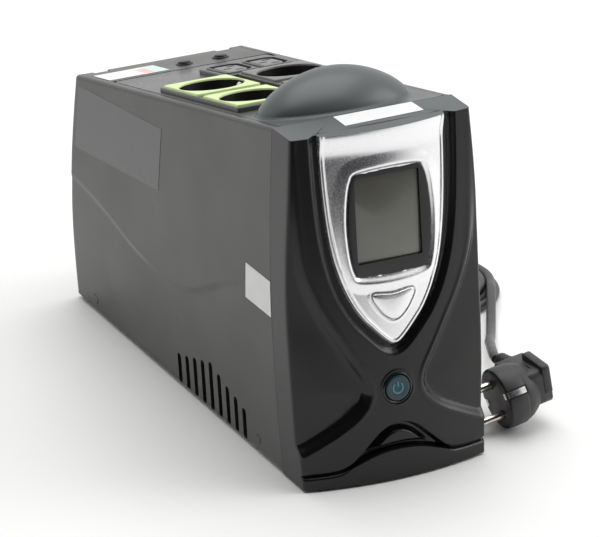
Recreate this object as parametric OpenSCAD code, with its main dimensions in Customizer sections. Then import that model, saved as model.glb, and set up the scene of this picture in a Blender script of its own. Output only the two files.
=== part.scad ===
// Tower uninterruptible power supply: a wedge-shaped case with sockets on its
// sloping top, a display shield on its bowed front, and a coiled mains lead.

/* [Case] */
// Greatest width of the case, at mid height (mm)
body_w = 126; // [122:1:132]
// Width at the floor
foot_w = 119; // [114:1:120]
// Width along the top edges
top_w = 116; // [114:1:118]
// Depth from the front corners to the rear
body_d = 320; // [316:1:330]
// Height of the level visor
front_h = 213; // [208:1:220]
// Height of the rear edge
rear_h = 150; // [146:1:156]
// How far the front leans back over its height
lean = 21; // [16:1:24]
// Depth of the level visor
visor_d = 23; // [20:1:26]
// How far the middle of the front stands forward of its corners
front_bow = 8.5; // [6:0.5:10]
// Distance of the joint behind the front moulding from the front, at the floor
seam_foot = 28; // [24:1:32]
// Wall of the covers
wall = 2.5; // [2:0.1:3]
// Width of a side vent
vent_w = 5; // [3:0.2:6]
// Gap under the case, filled by the rubber feet
foot_h = 1.5; // [1:0.5:3]

/* [Front] */
// Half width of the silver shield at its top
shield_w = 41; // [38:0.5:42]
// Height of the shield's pointed tip above the floor
shield_tip = 84; // [82:1:90]
// Radius of the power button
power_r = 7.8; // [6.5:0.1:8]
// Height of the power button along the front
power_v = 56.5; // [54:0.5:58]
// Travel of the power button
power_travel = 2; // [1:0.5:2.5]

/* [Outlets] */
// Diameter of a socket well
well_d = 39.5; // [39.5:0.1:40.5]
// Depth of a socket well
well_depth = 17.5; // [17:0.1:18.5]
// Distance between the two pins of a plug
pin_pitch = 19; // [19:0.5:20]
// Distance down the slope between two sockets
socket_pitch = 56.5; // [54:0.5:58]
// Height of a socket's bezel over the slope
bezel_h = 4.5; // [4:0.5:5.5]

/* [Breakers] */
// Radius of a breaker's bushing
breaker_r = 5.4; // [5:0.1:5.6]

/* [Battery] */
// Width, depth and height of the sealed 12 V battery
battery = [65, 151, 94];

/* [Mains lead] */
// Diameter of the lead
cord_d = 6; // [5.5:0.1:6]
// Diameter of the plug's round head
plug_d = 38; // [36:1:39]
// Radius of the plug's pins
pin_r = 2.4; // [2.38:0.01:2.43]
// Length of the plug's pins
pin_l = 19; // [18.5:0.5:19]

/* [Hidden] */
$fn = 48;

// Derived places
eps = 0.01;
mid_y = (body_d - front_bow) / 2;
crease_y = lean + visor_d;
slope_run = body_d - 2 - crease_y;
slope_a = atan((front_h - rear_h) / slope_run);
lean_a = atan(lean / front_h);
seam_a = atan((crease_y - seam_foot) / front_h);
seam_d = seam_foot * cos(seam_a);
barrel = body_w / 2 - (foot_w + top_w) / 4;
floor_z = foot_h + wall;
side_x = 53.3;
panel_s0 = 58;
panel_s1 = 237;
block_h = 3;
left_x = -28.2;
right_x = 23.5;
socket_s = [88, 88 + socket_pitch];
iec_s = 190;
iec_x = [6.4, 30.6];
breaker_s = 253.5;
breaker_x = [3.4, 28.2];
battery_at = [-49, 50, floor_z];
board_x = 48.5;
transformer_at = [0, 252, floor_z + 42];

// Route of the lead from its gland to the coil, and from the coil to the plug
rear_route = [
    [36, 192, 24], [36, 202, 24], [37.5, 213, 22], [42.5, 223.5, 17.5], [51, 232, 12],
    [61, 236.5, 7.5], [72, 237, 4.6], [83, 233, 3.3], [92, 226, 3], [100, 216, 3],
    [108, 203, 3], [117, 187, 3], [126, 171, 3], [135, 155, 3], [144, 139, 3],
    [153, 123, 3], [162, 108, 3], [170, 94, 3], [175.8, 84.5, 3]
];
front_route = [
    [174, 48.5, 8.2], [169.6, 39.6, 9.2], [165, 30.8, 8.6], [160.2, 22.2, 6.6], [155.6, 13.8, 4.6],
    [151, 5.4, 3.4], [146.4, -3, 3.2], [141.6, -11.6, 4], [136.6, -20.4, 5.9], [131.4, -29.2, 8.4],
    [126.2, -38, 11.3], [122.1, -46.8, 14.3], [117.6, -55.6, 17.2], [113.5, -64.2, 19.8], [109.8, -72.2, 21.8],
    [106.8, -79.4, 23], [105.3, -85.3, 23.35]
];
gland_l = 192 - (body_d + front_bow) / 2;
coil_at = [142, 65];
coil_r = [27, 33, 39];
// Place and turn of the plug: the middle of its pin face, then roll, tilt and heading
plug_at = [82.3, -127.7, 18.9];
plug_turn = [180, 10, 181];
// Angle of the pin line from the lead's square, and depth of the lead behind the pin face
pin_turn = 30;
lead_z = -26;
relief_y = 22;
relief_l = 20;
plug_rim = 14;
plug_back = 32;

// Half width of the case at height z
function half_w(z) = (foot_w + (top_w - foot_w) * z / front_h) / 2 + barrel * sin(180 * z / front_h);
// How far the front stands forward at a distance x from the middle
function bow(x) = front_bow * (1 - pow(x / (foot_w / 2), 2));
// Height of the sloping top at a depth y
function slope_z(y) = front_h - (y - crease_y) * tan(slope_a);

// ---- shared frames ----
module place() {
    translate([0, -mid_y, 0]) children();
}

// Local x across, y up along the front, z out of it
module on_front() {
    place() rotate([90 - lean_a, 0, 0]) children();
}

// Local x across, y down the slope from the crease, z out of it
module on_top() {
    place() translate([0, crease_y, front_h]) rotate([-slope_a, 0, 0]) children();
}

module big_box(x0, x1, y0, y1, z0, z1) {
    translate([x0, y0, z0]) cube([x1 - x0, y1 - y0, z1 - z0]);
}

// ---- the case as one solid, then as a shell ----
module section_outline(inset) {
    steps = 12;
    right = [for (i = [0:steps]) let (z = front_h * i / steps) [half_w(z) - inset, z]];
    left = [for (i = [steps:-1:0]) let (z = front_h * i / steps) [-half_w(z) + inset, z]];
    polygon(concat(right, left));
}

module side_outline(inset) {
    drop = inset / cos(slope_a);
    polygon([
        [-30, foot_h + inset], [body_d - inset, foot_h + inset],
        [body_d - inset, slope_z(body_d - inset) - drop],
        [crease_y + inset * tan(slope_a / 2), front_h - inset], [-30, front_h - inset]
    ]);
}

module plan_outline(inset) {
    steps = 14;
    w = 70;
    arc = [for (i = [0:steps]) let (x = -w + 2 * w * i / steps) [x, -bow(x) + inset]];
    polygon(concat(arc, [[w, 500], [-w, 500]]));
}

module solid_case(inset) {
    intersection() {
        translate([0, 400, 0]) rotate([90, 0, 0]) linear_extrude(500) section_outline(inset);
        rotate([90, 0, 90]) linear_extrude(200, center = true) side_outline(inset);
        rotate([-lean_a, 0, 0]) translate([0, 0, -20]) linear_extrude(300) plan_outline(inset);
    }
}

module case_shell() {
    difference() {
        solid_case(0);
        solid_case(wall);
    }
}

// Everything behind the joint of the front moulding
module behind_bezel() {
    rotate([-seam_a, 0, 0]) big_box(-100, 100, seam_d, 500, -60, 400);
}

module before_bezel() {
    rotate([-seam_a, 0, 0]) big_box(-100, 100, -60, seam_d, -60, 400);
}

// ---- front ----
// Half of the shield's outline, from its tip to its top
function shield_half() = [
    [0, shield_tip], [8, shield_tip + 4], [15, shield_tip + 10.5], [25, shield_tip + 24],
    [33, shield_tip + 43], [38, shield_tip + 66], [40, shield_tip + 90],
    [shield_w, shield_tip + 118], [shield_w, shield_tip + 140]
];

module shield_outline(grow) {
    half = [for (p = shield_half()) [p[0] + (p[0] > 0 ? grow : 0), p[1] - (p[0] > 0 ? 0 : grow)]];
    mirrored = [for (i = [len(half) - 1:-1:1]) [-half[i][0], half[i][1]]];
    polygon(concat(half, mirrored));
}

// A slab that follows the bowed front between two depths out of it
module front_slab(out0, out1) {
    place() rotate([-lean_a, 0, 0]) translate([0, 0, -20]) difference() {
        linear_extrude(235) plan_outline(-out1);
        translate([0, 0, -1]) linear_extrude(240) plan_outline(-out0);
    }
}

module display_outline(grow) {
    w = 22 + grow;
    polygon([
        [-w + 3, 128 - grow], [w - 3, 128 - grow], [w, 131 - grow], [26.5 + grow, 160],
        [w, 186 + grow], [w - 3, 189 + grow], [-w + 3, 189 + grow], [-w, 186 + grow],
        [-26.5 - grow, 160], [-w, 131 - grow]
    ]);
}

module select_outline(grow) {
    polygon([
        [0, 98.5 - grow], [5, 100.5 - grow], [10 + grow, 106], [13.2 + grow, 114],
        [12 + grow, 115.5 + grow], [-12 - grow, 115.5 + grow], [-13.2 - grow, 114],
        [-10 - grow, 106], [-5, 100.5 - grow]
    ]);
}

module front_bezel() {
    color([0.17, 0.17, 0.17]) difference() {
        union() {
            place() intersection() {
                difference() {
                    solid_case(0);
                    solid_case(wall + 1);
                }
                before_bezel();
            }
            display_posts(3, -2.79, 4);
        }
        display_posts(1.3, -4, 2);
        // pocket and window for the shield
        intersection() {
            on_front() translate([0, 0, -5]) linear_extrude(40) shield_outline(0.2);
            front_slab(-1.5, 40);
        }
        on_front() translate([0, 0, -5]) linear_extrude(40) display_outline(0.3);
        on_front() translate([0, 0, -5]) linear_extrude(40) select_outline(1);
        on_front() translate([0, power_v, -5]) cylinder(r = 9.7, h = 40);
        // the two triangular recesses and the arch below the button
        intersection() {
            on_front() translate([0, 0, -5]) linear_extrude(40) front_recesses();
            front_slab(-1.2, 40);
        }
    }
}

// Four posts that carry the display board
module display_posts(r, out0, out1) {
    for (x = [-28, 28]) for (y = [-46, 46])
        on_front() translate([x, 143 + y, out0]) cylinder(r = r, h = out1 - out0);
}

module front_recesses() {
    for (m = [0, 1]) mirror([m, 0]) polygon([[16.5, 56], [24, 80], [40, 116], [54, 160], [54, 24]]);
    polygon([[-36, 12], [-10, 32], [0, 35], [10, 32], [36, 12], [20, 17], [0, 19], [-20, 17]]);
}

module front_shield() {
    color([0.78, 0.79, 0.8]) intersection() {
        on_front() difference() {
            translate([0, 0, -5]) linear_extrude(40) intersection() {
                shield_outline(0);
                translate([-60, 60]) square([120, front_h - 60.5]);
            }
            translate([0, 0, -6]) linear_extrude(42) display_outline(0.2);
            translate([0, 0, -6]) linear_extrude(42) select_outline(0.4);
        }
        front_slab(-1.5, 1);
    }
}

module display_frame() {
    color([0.03, 0.03, 0.03]) difference() {
        intersection() {
            on_front() translate([0, 0, -5]) linear_extrude(40) display_outline(0);
            front_slab(-7, 1.6);
        }
        on_front() translate([0, 158.5, -10]) linear_extrude(40) square([40.5, 50.5], center = true);
    }
}

module display_lens() {
    color([0.42, 0.42, 0.38]) on_front() translate([0, 158.5, 1.6]) linear_extrude(1.8)
        square([40.1, 50.1], center = true);
}

module display_board() {
    color([0.1, 0.32, 0.16]) on_front() translate([0, 143, -4.4]) difference() {
        linear_extrude(1.6) square([62, 100], center = true);
        for (x = [-28, 28]) for (y = [-46, 46]) translate([x, y, -1]) cylinder(r = 1.6, h = 4);
    }
}

module select_button() {
    color([0.8, 0.81, 0.82]) {
        intersection() {
            on_front() translate([0, 0, 4.2]) linear_extrude(40) select_outline(0);
            front_slab(-4, 2);
        }
        on_front() translate([0, 109, 1]) cylinder(r = 2.5, h = 3.5);
    }
}

module select_switch() {
    color([0.1, 0.1, 0.1]) on_front() translate([0, 109, -2.8]) {
        translate([-3, -3, 0]) cube([6, 6, 1.5]);
        cylinder(r = 1.6, h = 2.3);
    }
}

module power_ring() {
    color([0.02, 0.02, 0.02]) on_front() translate([0, power_v, 0]) difference() {
        union() {
            translate([0, 0, 1]) cylinder(r = 9.5, h = front_bow - 0.4);
            translate([0, 0, 1]) cylinder(r = 11.5, h = 3);
        }
        cylinder(r = power_r + 0.3, h = 20);
    }
}

module power_button() {
    color([0.13, 0.36, 0.42]) on_front() translate([0, power_v, 0]) {
        translate([0, 0, 3.5]) cylinder(r = power_r, h = front_bow - 2.9);
        translate([0, 0, 1]) cylinder(r = 3, h = 3);
    }
}

module power_switch() {
    color([0.12, 0.12, 0.12]) on_front() translate([0, power_v, 0]) {
        translate([-11, -11, -9]) cube([22, 22, 8.4 - power_travel]);
        translate([0, 0, -0.7 - power_travel]) cylinder(r = 2.2, h = 1.4);
    }
}

// ---- covers ----
function vent_y(i) = 78 + 11.2 * i;
function vent_top(i) = 34.5 - 3 * abs(i - 4);

module side_cover() {
    difference() {
        union() {
            intersection() {
                case_shell();
                behind_bezel();
                big_box(-100, -side_x, 0, 400, 0, 300);
            }
            children();
        }
        for (i = [0:8])
            big_box(-80, -50, vent_y(i) - vent_w / 2, vent_y(i) + vent_w / 2, floor_z + 1, vent_top(i));
        for (y = [60, 290]) translate([-70, y, 10]) rotate([0, 90, 0]) cylinder(r = 1.7, h = 20);
        for (y = [60, 290]) translate([-70, y, 10]) rotate([0, 90, 0]) cylinder(r = 3.1, h = 11.4);
    }
}

module left_cover() {
    color([0.2, 0.2, 0.19]) place() side_cover();
}

module right_cover() {
    color([0.2, 0.2, 0.19]) place() mirror([1, 0, 0]) side_cover() {
        for (y = [60, 196]) for (z = [24, 110]) translate([-half_w(z) + 1.5, y, z])
            rotate([0, 90, 0]) difference() {
                cylinder(r = 3.5, h = half_w(z) - 1.5 - board_x - 1.6);
                translate([0, 0, 3]) cylinder(r = 1.3, h = 20);
            }
    }
}

module base_tray() {
    color([0.18, 0.18, 0.18]) place() difference() {
        union() {
            intersection() {
                case_shell();
                behind_bezel();
                big_box(-side_x, side_x, 0, body_d - wall, 0, floor_z);
            }
            for (m = [0, 1]) mirror([m, 0, 0])
                big_box(-side_x, -side_x + 2.5, 40, body_d - 8, floor_z - eps, 20);
            big_box(-side_x + 2, 20, 46, 49, floor_z - eps, 16);
            big_box(-side_x + 2, 20, 202, 205, floor_z - eps, 16);
        }
        for (m = [0, 1]) mirror([m, 0, 0]) for (y = [60, 290])
            translate([-60, y, 10]) rotate([0, 90, 0]) cylinder(r = 1.6, h = 12);
        for (x = [-42, 42]) for (y = [62, 292]) translate([x, y, 0]) cylinder(r = 6.1, h = foot_h + 1);
    }
}

module rear_panel() {
    color([0.2, 0.2, 0.2]) difference() {
        union() {
            place() intersection() {
                case_shell();
                big_box(-side_x, side_x, body_d - wall - 0.001, 400, floor_z, 300);
            }
            intersection() {
                place() case_shell();
                place() big_box(-side_x, side_x, 100, body_d - wall, 100, 300);
                on_top() big_box(-side_x, side_x, panel_s1 + 0.2, 400, -wall - 0.2, 10);
            }
        }
        for (x = breaker_x) on_top() translate([x, breaker_s, -10]) cylinder(r = breaker_r + 0.2, h = 20);
        place() translate([36, body_d - 10, 24]) rotate([-90, 0, 0]) cylinder(r = 7.2, h = 20);
        for (x = [-36:8:12]) place() big_box(x, x + 4, body_d - 10, body_d + 5, 22, 62);
        for (m = [-1, 1]) place() big_box(m * 42 - 5, m * 42 + 5, body_d - 4, body_d + 5, rear_h - 1.6, rear_h + 5);
    }
}

// Smooth cap over the front of the slope
module dome(shrink) {
    translate([-3, 31.5, -4]) scale([48 - shrink, 28 - shrink, 27.5 - shrink]) sphere(r = 1, $fn = 40);
}

module top_hood() {
    color([0.4, 0.42, 0.42]) difference() {
        union() {
            intersection() {
                place() case_shell();
                on_top() big_box(-side_x, side_x, 0.5, panel_s0 - 0.2, -wall, 10);
                place() big_box(-100, 100, crease_y, 200, 150, 300);
            }
            on_top() intersection() {
                dome(0);
                big_box(-60, 60, 1, panel_s0 - 0.2, -wall, 40);
            }
        }
        on_top() intersection() {
            dome(2);
            big_box(-60, 60, 3, 56, -20, 40);
        }
    }
}

// ---- outlets ----
module outlet_panel() {
    color([0.22, 0.22, 0.22]) on_top() difference() {
        union() {
            big_box(-side_x + 0.2, side_x - 0.2, panel_s0, panel_s1, -2.4, -0.4);
            big_box(-50, -6.5, 62, 173, -1, block_h);
            big_box(1.5, 46, 62, 171, -1, block_h);
            big_box(-7, 48, 171 - eps, 210, -1, block_h);
        }
        for (x = [left_x, right_x]) for (s = socket_s)
            translate([x, s, -10]) cylinder(r = 20.9, h = 20);
        for (x = iec_x) translate([x, iec_s, 0]) linear_extrude(30, center = true)
            square([21.4, 31.4], center = true);
    }
}

module socket_insert(x, s) {
    on_top() translate([x, s, 0]) difference() {
        union() {
            big_box(-20.9, 20.9, -24.5, 24.5, block_h, bezel_h);
            translate([0, 0, bezel_h - well_depth - 2.5]) cylinder(r = 20.6, h = well_depth + 1.5);
            translate([0, 0, bezel_h - well_depth - 22]) cylinder(r = 17, h = 20);
        }
        translate([0, 0, bezel_h - well_depth]) cylinder(d = well_d, h = 30);
        for (m = [-1, 1]) translate([0, m * pin_pitch / 2, bezel_h - well_depth - 20])
            cylinder(r = 3, h = 30);
    }
}

module socket_green_front() {
    color([0.82, 0.9, 0.62]) socket_insert(left_x, socket_s[0]);
}

module socket_green_rear() {
    color([0.82, 0.9, 0.62]) socket_insert(left_x, socket_s[1]);
}

module socket_grey_front() {
    color([0.5, 0.5, 0.5]) socket_insert(right_x, socket_s[0]);
}

module socket_grey_rear() {
    color([0.5, 0.5, 0.5]) socket_insert(right_x, socket_s[1]);
}

module at_each_socket() {
    for (x = [left_x, right_x]) for (s = socket_s)
        on_top() translate([x, s, bezel_h - well_depth]) children();
}

module earth_clips() {
    color([0.75, 0.73, 0.68]) at_each_socket() for (m = [0, 1]) mirror([m, 0, 0]) {
        big_box(17.2, 18.2, -2.5, 2.5, 0.01, 15.5);
        big_box(14.5, 17.2 + eps, -2.5, 2.5, 0.01, 0.9);
    }
}

module socket_contacts() {
    color([0.78, 0.62, 0.3]) at_each_socket() for (m = [-1, 1])
        translate([0, m * pin_pitch / 2, -19.5]) difference() {
            cylinder(r = 2.95, h = 16);
            translate([0, 0, 2]) cylinder(r = 2.45, h = 20);
        }
}

// Face of an appliance outlet: a long shape with two cut corners
module iec_face(grow) {
    w = 7.9 + grow;
    l = 12 + grow;
    polygon([[-w, -l], [w - 3.5, -l], [w, -l + 3.5], [w, l - 3.5], [w - 3.5, l], [-w, l]]);
}

module iec_outlet(x) {
    on_top() translate([x, iec_s, 0]) difference() {
        translate([0, 0, -21]) linear_extrude(20.5 + block_h) square([21, 31], center = true);
        translate([0, 0, -19]) linear_extrude(40) difference() {
            square([19.6, 29.4], center = true);
            iec_face(0);
        }
        translate([0, 0, block_h - 1]) linear_extrude(5) iec_face(0.2);
        for (y = [-7, 7]) translate([2, y, -18]) linear_extrude(40) square([5.6, 2.6], center = true);
        translate([-3, 0, -18]) linear_extrude(40) square([5.6, 2.6], center = true);
    }
}

module iec_outlet_left() {
    color([0.1, 0.1, 0.1]) iec_outlet(iec_x[0]);
}

module iec_outlet_right() {
    color([0.1, 0.1, 0.1]) iec_outlet(iec_x[1]);
}

module iec_contacts() {
    color([0.78, 0.62, 0.3]) for (x = iec_x) on_top() translate([x, iec_s, -17.9]) {
        for (y = [-7, 7]) big_box(2 - 2.6, 2 + 2.6, y - 1.1, y - 0.5, 0, 12);
        big_box(-3 - 2.6, -3 + 2.6, -1.1, -0.5, 0, 12);
    }
}

// ---- breakers ----
module breaker(x) {
    on_top() translate([x, breaker_s, 0]) difference() {
        union() {
            translate([0, 0, -12]) cylinder(r = breaker_r, h = 12.9);
            translate([-7, -8, -30]) cube([14, 16, 18 + eps]);
        }
        translate([0, 0, -12]) cylinder(r = 4.2, h = 20);
    }
}

module breaker_button(x) {
    on_top() translate([x, breaker_s, 0]) {
        translate([0, 0, -8]) cylinder(r = 3.9, h = 9.4);
        translate([0, 0, 1.4 - eps]) cylinder(r1 = 3.9, r2 = 2.9, h = 0.6);
    }
}

module input_breaker() {
    color([0.05, 0.05, 0.05]) breaker(breaker_x[0]);
}

module input_breaker_button() {
    color([0.06, 0.06, 0.06]) breaker_button(breaker_x[0]);
}

module output_breaker() {
    color([0.05, 0.05, 0.05]) breaker(breaker_x[1]);
}

module output_breaker_button() {
    color([0.06, 0.06, 0.06]) breaker_button(breaker_x[1]);
}

// ---- battery ----
module battery_block() {
    color([0.25, 0.27, 0.3]) place() translate(battery_at) {
        cube([battery[0], battery[1], battery[2] - 8]);
        translate([1, 1, battery[2] - 8 - eps]) cube([battery[0] - 2, battery[1] - 2, 8]);
    }
}

module battery_terminals() {
    color([0.75, 0.72, 0.65]) place() translate(battery_at) for (x = [12, battery[0] - 12])
        translate([x, 8, battery[2] + 0.01]) {
            translate([-3.2, -3, 0]) cube([6.4, 9, 0.8]);
            translate([-3.2, -3, 0.8 - eps]) cube([6.4, 0.8, 7]);
        }
}

module battery_strap() {
    color([0.6, 0.61, 0.62]) place() translate(battery_at) {
        x1 = battery[0] + 0.3;
        big_box(-0.3, x1 + 1.2, 70, 90, battery[2] + 0.1, battery[2] + 1.3);
        big_box(x1, x1 + 1.2, 70, 90, 0.01, battery[2] + 0.2);
        big_box(x1 + 1.2 - eps, x1 + 12, 70, 90, 0.01, 1.2);
        big_box(-1.5, -0.3, 70, 90, 17, battery[2] + 1.3);
    }
}

// A round tube through a list of points: one ring for each point
function unit(v) = v / norm(v);
function tangent(p, i) = unit(p[min(i + 1, len(p) - 1)] - p[max(i - 1, 0)]);
function level_side(t) = unit(cross([0, 0, 1], t) + (norm(cross([0, 0, 1], t)) < 0.05 ? [1, 0, 0] : [0, 0, 0]));

module tube(p, r, sides = 8) {
    rings = [for (i = [0:len(p) - 1]) let (
        t = tangent(p, i), u = level_side(t), v = cross(t, u)
    ) for (k = [0:sides - 1]) p[i] + r * (cos(360 * k / sides) * u + sin(360 * k / sides) * v)];
    n = len(p);
    walls = [for (i = [0:n - 2]) for (k = [0:sides - 1]) let (k2 = (k + 1) % sides)
        [i * sides + k, (i + 1) * sides + k, (i + 1) * sides + k2, i * sides + k2]];
    end0 = [for (k = [0:sides - 1]) k];
    end1 = [for (k = [sides - 1:-1:0]) (n - 1) * sides + k];
    polyhedron(points = rings, faces = concat(walls, [end0], [end1]), convexity = 4);
}

module battery_leads() {
    top = battery_at + [0, 8, battery[2] + 9.5];
    color([0.6, 0.08, 0.08]) place() tube([
        top + [battery[0] - 12, -2.6, 0], top + [battery[0] - 12, -2.6, 6], top + [battery[0] - 10, 4, 11],
        top + [battery[0] - 2, 14, 13], top + [battery[0] + 10, 22, 11], top + [battery[0] + 24, 26, 8],
        top + [battery[0] + 30, 26, 7]
    ], 1.7);
    color([0.05, 0.05, 0.05]) place() tube([
        top + [12, -2.6, 0], top + [12, -2.6, 6], top + [14, 6, 11], top + [26, 22, 13],
        top + [46, 34, 12], top + [68, 40, 9], top + [battery[0] + 30, 40, 7]
    ], 1.7);
}

// ---- transformer ----
module transformer_core() {
    color([0.35, 0.35, 0.37]) place() translate(transformer_at) difference() {
        cube([96, 50, 80], center = true);
        for (m = [-1, 1]) translate([m * 24, 0, 0]) cube([16, 60, 48], center = true);
    }
}

module transformer_windings() {
    color([0.8, 0.62, 0.2]) place() translate(transformer_at) difference() {
        union() {
            cube([63.4, 66, 47.4], center = true);
            cube([58, 76, 42], center = true);
        }
        cube([32.6, 50.6, 80], center = true);
    }
}

module transformer_clamp() {
    color([0.65, 0.66, 0.66]) place() translate(transformer_at) {
        for (y = [-20, 20]) for (m = [-1, 1])
            big_box(m * 48.2 - (m < 0 ? 1.5 : 0), m * 48.2 + (m < 0 ? 0 : 1.5), y - 5, y + 5, -38, 40.3);
        for (y = [-20, 20]) big_box(-49.7, 49.7, y - 5, y + 5, 40.3 - eps, 41.8);
    }
}

module transformer_bolts() {
    color([0.7, 0.7, 0.7]) place() translate(transformer_at) for (x = [-38, 38]) for (y = [-20, 20])
        translate([x, y, 41.9]) cylinder(r = 3.6, h = 3, $fn = 6);
}

// ---- electronics ----
module main_board() {
    color([0.12, 0.35, 0.18]) place() difference() {
        big_box(board_x, board_x + 1.6, 52, 204, 16, 118);
        for (y = [60, 196]) for (z = [24, 110]) translate([board_x - 1, y, z])
            rotate([0, 90, 0]) cylinder(r = 1.8, h = 5);
    }
}

module heatsinks() {
    color([0.7, 0.71, 0.72]) place() for (y = [120, 160]) translate([board_x - 24, y, 62]) {
        big_box(0, 23.9, 0, 2.5, 0, 34);
        for (i = [0:4]) big_box(2 + 5 * i, 3.4 + 5 * i, 2.5 - eps, 12, 0, 34);
    }
}

module power_transistors() {
    color([0.1, 0.1, 0.1]) place() for (y = [120, 160]) for (i = [0, 1])
        big_box(board_x - 20, board_x - 4, y - 4.8, y - 0.1, 64 + 16 * i, 74 + 16 * i);
}

module relays() {
    color([0.1, 0.2, 0.45]) place() for (i = [0:3])
        big_box(board_x - 15.6, board_x - 0.1, 62 + 30 * i, 82 + 30 * i, 30, 46);
}

module capacitors() {
    color([0.15, 0.15, 0.3]) place() for (i = [0:2])
        translate([board_x - 20.1, 68 + 16 * i, 72]) rotate([0, 90, 0]) cylinder(r = 6.5, h = 20);
}

module controller_chip() {
    color([0.06, 0.06, 0.06]) place() big_box(board_x - 3.6, board_x - 0.1, 70, 106, 92, 100);
}

module buzzer() {
    color([0.05, 0.05, 0.05]) place() translate([board_x - 9.1, 186, 56]) rotate([0, 90, 0]) difference() {
        cylinder(r = 6, h = 9);
        translate([0, 0, -1]) cylinder(r = 1.3, h = 4);
    }
}

module fuse() {
    color([0.75, 0.76, 0.78]) place() translate([board_x - 5, 172, 106]) rotate([-90, 0, 0]) cylinder(r = 2.6, h = 20);
}

// ---- fasteners and feet ----
module cover_screws() {
    color([0.3, 0.3, 0.3]) place() for (m = [0, 1]) mirror([m, 0, 0]) for (y = [60, 290])
        translate([-58.62, y, 10]) rotate([0, 90, 0]) {
            translate([0, 0, -1.6]) cylinder(r = 2.8, h = 1.6 + eps);
            cylinder(r = 1.45, h = 8.5);
        }
}

module board_screws() {
    color([0.7, 0.7, 0.7]) place() for (y = [60, 196]) for (z = [24, 110])
        translate([board_x - 2.1, y, z]) rotate([0, 90, 0]) {
            cylinder(r = 2.7, h = 2);
            cylinder(r = 1.2, h = 8);
        }
}

module feet() {
    color([0.06, 0.06, 0.06]) place() for (x = [-42, 42]) for (y = [62, 292])
        translate([x, y, 0]) cylinder(r = 6, h = foot_h + 0.98);
}

module inlet_wires() {
    for (i = [0:2]) color([[0.3, 0.15, 0.08], [0.1, 0.2, 0.5], [0.3, 0.5, 0.15]][i]) place() tube([
        [31 + 5 * i, body_d - 14.2, 24 + (i == 1 ? 4 : 0)], [31 + 5 * i, body_d - 20, 26 + 3 * i],
        [38 + 3 * i, body_d - 24, 40 + 3 * i], [44 + 2 * i, body_d - 27, 60 + 3 * i],
        [44 + 2 * i, body_d - 36, 100 + 3 * i], [42 + 2 * i, 262, 112 + 3 * i],
        [40 + 2 * i, 225, 112 + 3 * i], [38, 200, 108 + 3 * i], [38, 190, 106 + 3 * i]
    ], 1.2);
}

// ---- mains lead ----
// Tapered grommet: wide inside the rear panel, slim where the lead leaves it
module cord_gland() {
    color([0.05, 0.05, 0.05]) place() translate([36, body_d, 24]) rotate([-90, 0, 0]) {
        translate([0, 0, -wall - 3]) cylinder(r = 9, h = 2.9);
        translate([0, 0, -wall - 0.2]) cylinder(r = 7, h = wall + 0.3);
        translate([0, 0, 0.1]) cylinder(r = 9, h = 3);
        translate([0, 0, 3.1 - eps]) cylinder(r1 = 6.5, r2 = 4.2, h = gland_l - 3.1);
    }
}

module cord_rear() {
    color([0.1, 0.1, 0.1]) tube(rear_route, cord_d / 2);
}

module cord_front() {
    color([0.1, 0.1, 0.1]) tube(front_route, cord_d / 2);
}

module cord_coil() {
    inner = coil_r[0] - cord_d / 2;
    outer = coil_r[2] + cord_d / 2;
    top = cord_d * 1.86;
    color([0.1, 0.1, 0.1]) translate([coil_at[0], coil_at[1], 0]) rotate_extrude()
        polygon([[inner, 0], [outer, 0], [outer, cord_d], [outer - 3, top], [inner + 3, top], [inner, cord_d]]);
}

// Band that holds the coil together
module cord_tie() {
    top = cord_d * 1.86;
    color([0.03, 0.03, 0.03]) translate([coil_at[0], coil_at[1], 0]) rotate([0, 0, 200]) {
        big_box(coil_r[0] - 5.4, coil_r[2] + 4.8, -6, 6, top + 0.02, top + 1.4);
        big_box(coil_r[0] - 5.4, coil_r[0] - 4.2, -6, 6, 0.1, top + 0.1);
        big_box(coil_r[2] + 3.6, coil_r[2] + 4.8, -6, 6, 0.1, top + 0.1);
    }
}

// Local z runs out along the pins, local y towards the lead
module at_plug() {
    translate(plug_at) rotate([0, 90 + plug_turn[1], plug_turn[2]]) rotate([0, 0, plug_turn[0]]) children();
}

// Slab square to the lead, from one depth behind the pin face to another
module grip(w, y0, y1, deep, shallow) {
    big_box(-w, w, y0, y1, -deep, -shallow);
}

module plug_body() {
    clip_in = plug_d / 2 - 2.6;
    color([0.12, 0.12, 0.12]) at_plug() difference() {
        union() {
            translate([0, 0, -plug_rim]) cylinder(d = plug_d, h = plug_rim);
            hull() {
                translate([0, 0, -plug_rim]) cylinder(d = plug_d - 1, h = 1);
                grip(15.5, -12, 11, plug_back, 26);
            }
            hull() {
                grip(9, 6, 8, plug_back, 18);
                grip(7.5, relief_y - 2, relief_y, plug_back, 19.5);
            }
        }
        rotate([0, 0, pin_turn]) for (m = [-1, 1]) {
            translate([m * pin_pitch / 2, 0, -plug_rim]) cylinder(r = pin_r - 0.1, h = 20);
            // earth contact's flat on one side, guide groove on the other
            rotate([0, 0, 90 * m]) big_box(clip_in, plug_d, -3.5, 3.5, -plug_rim, 1);
            rotate([0, 0, 90 + 90 * m]) big_box(plug_d / 2 - 2.2, plug_d, -2.6, 2.6, -plug_rim, 1);
        }
    }
}

module plug_pins() {
    tip = 1.5;
    color([0.82, 0.76, 0.62]) at_plug() rotate([0, 0, pin_turn])
        for (m = [-1, 1]) translate([m * pin_pitch / 2, 0, 0]) {
            translate([0, 0, -13.9]) cylinder(r = pin_r - 0.2, h = 14);
            translate([0, 0, 0.02]) cylinder(r = pin_r, h = pin_l - tip);
            translate([0, 0, pin_l - tip]) cylinder(r1 = pin_r, r2 = pin_r / 2, h = tip);
        }
}

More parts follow.
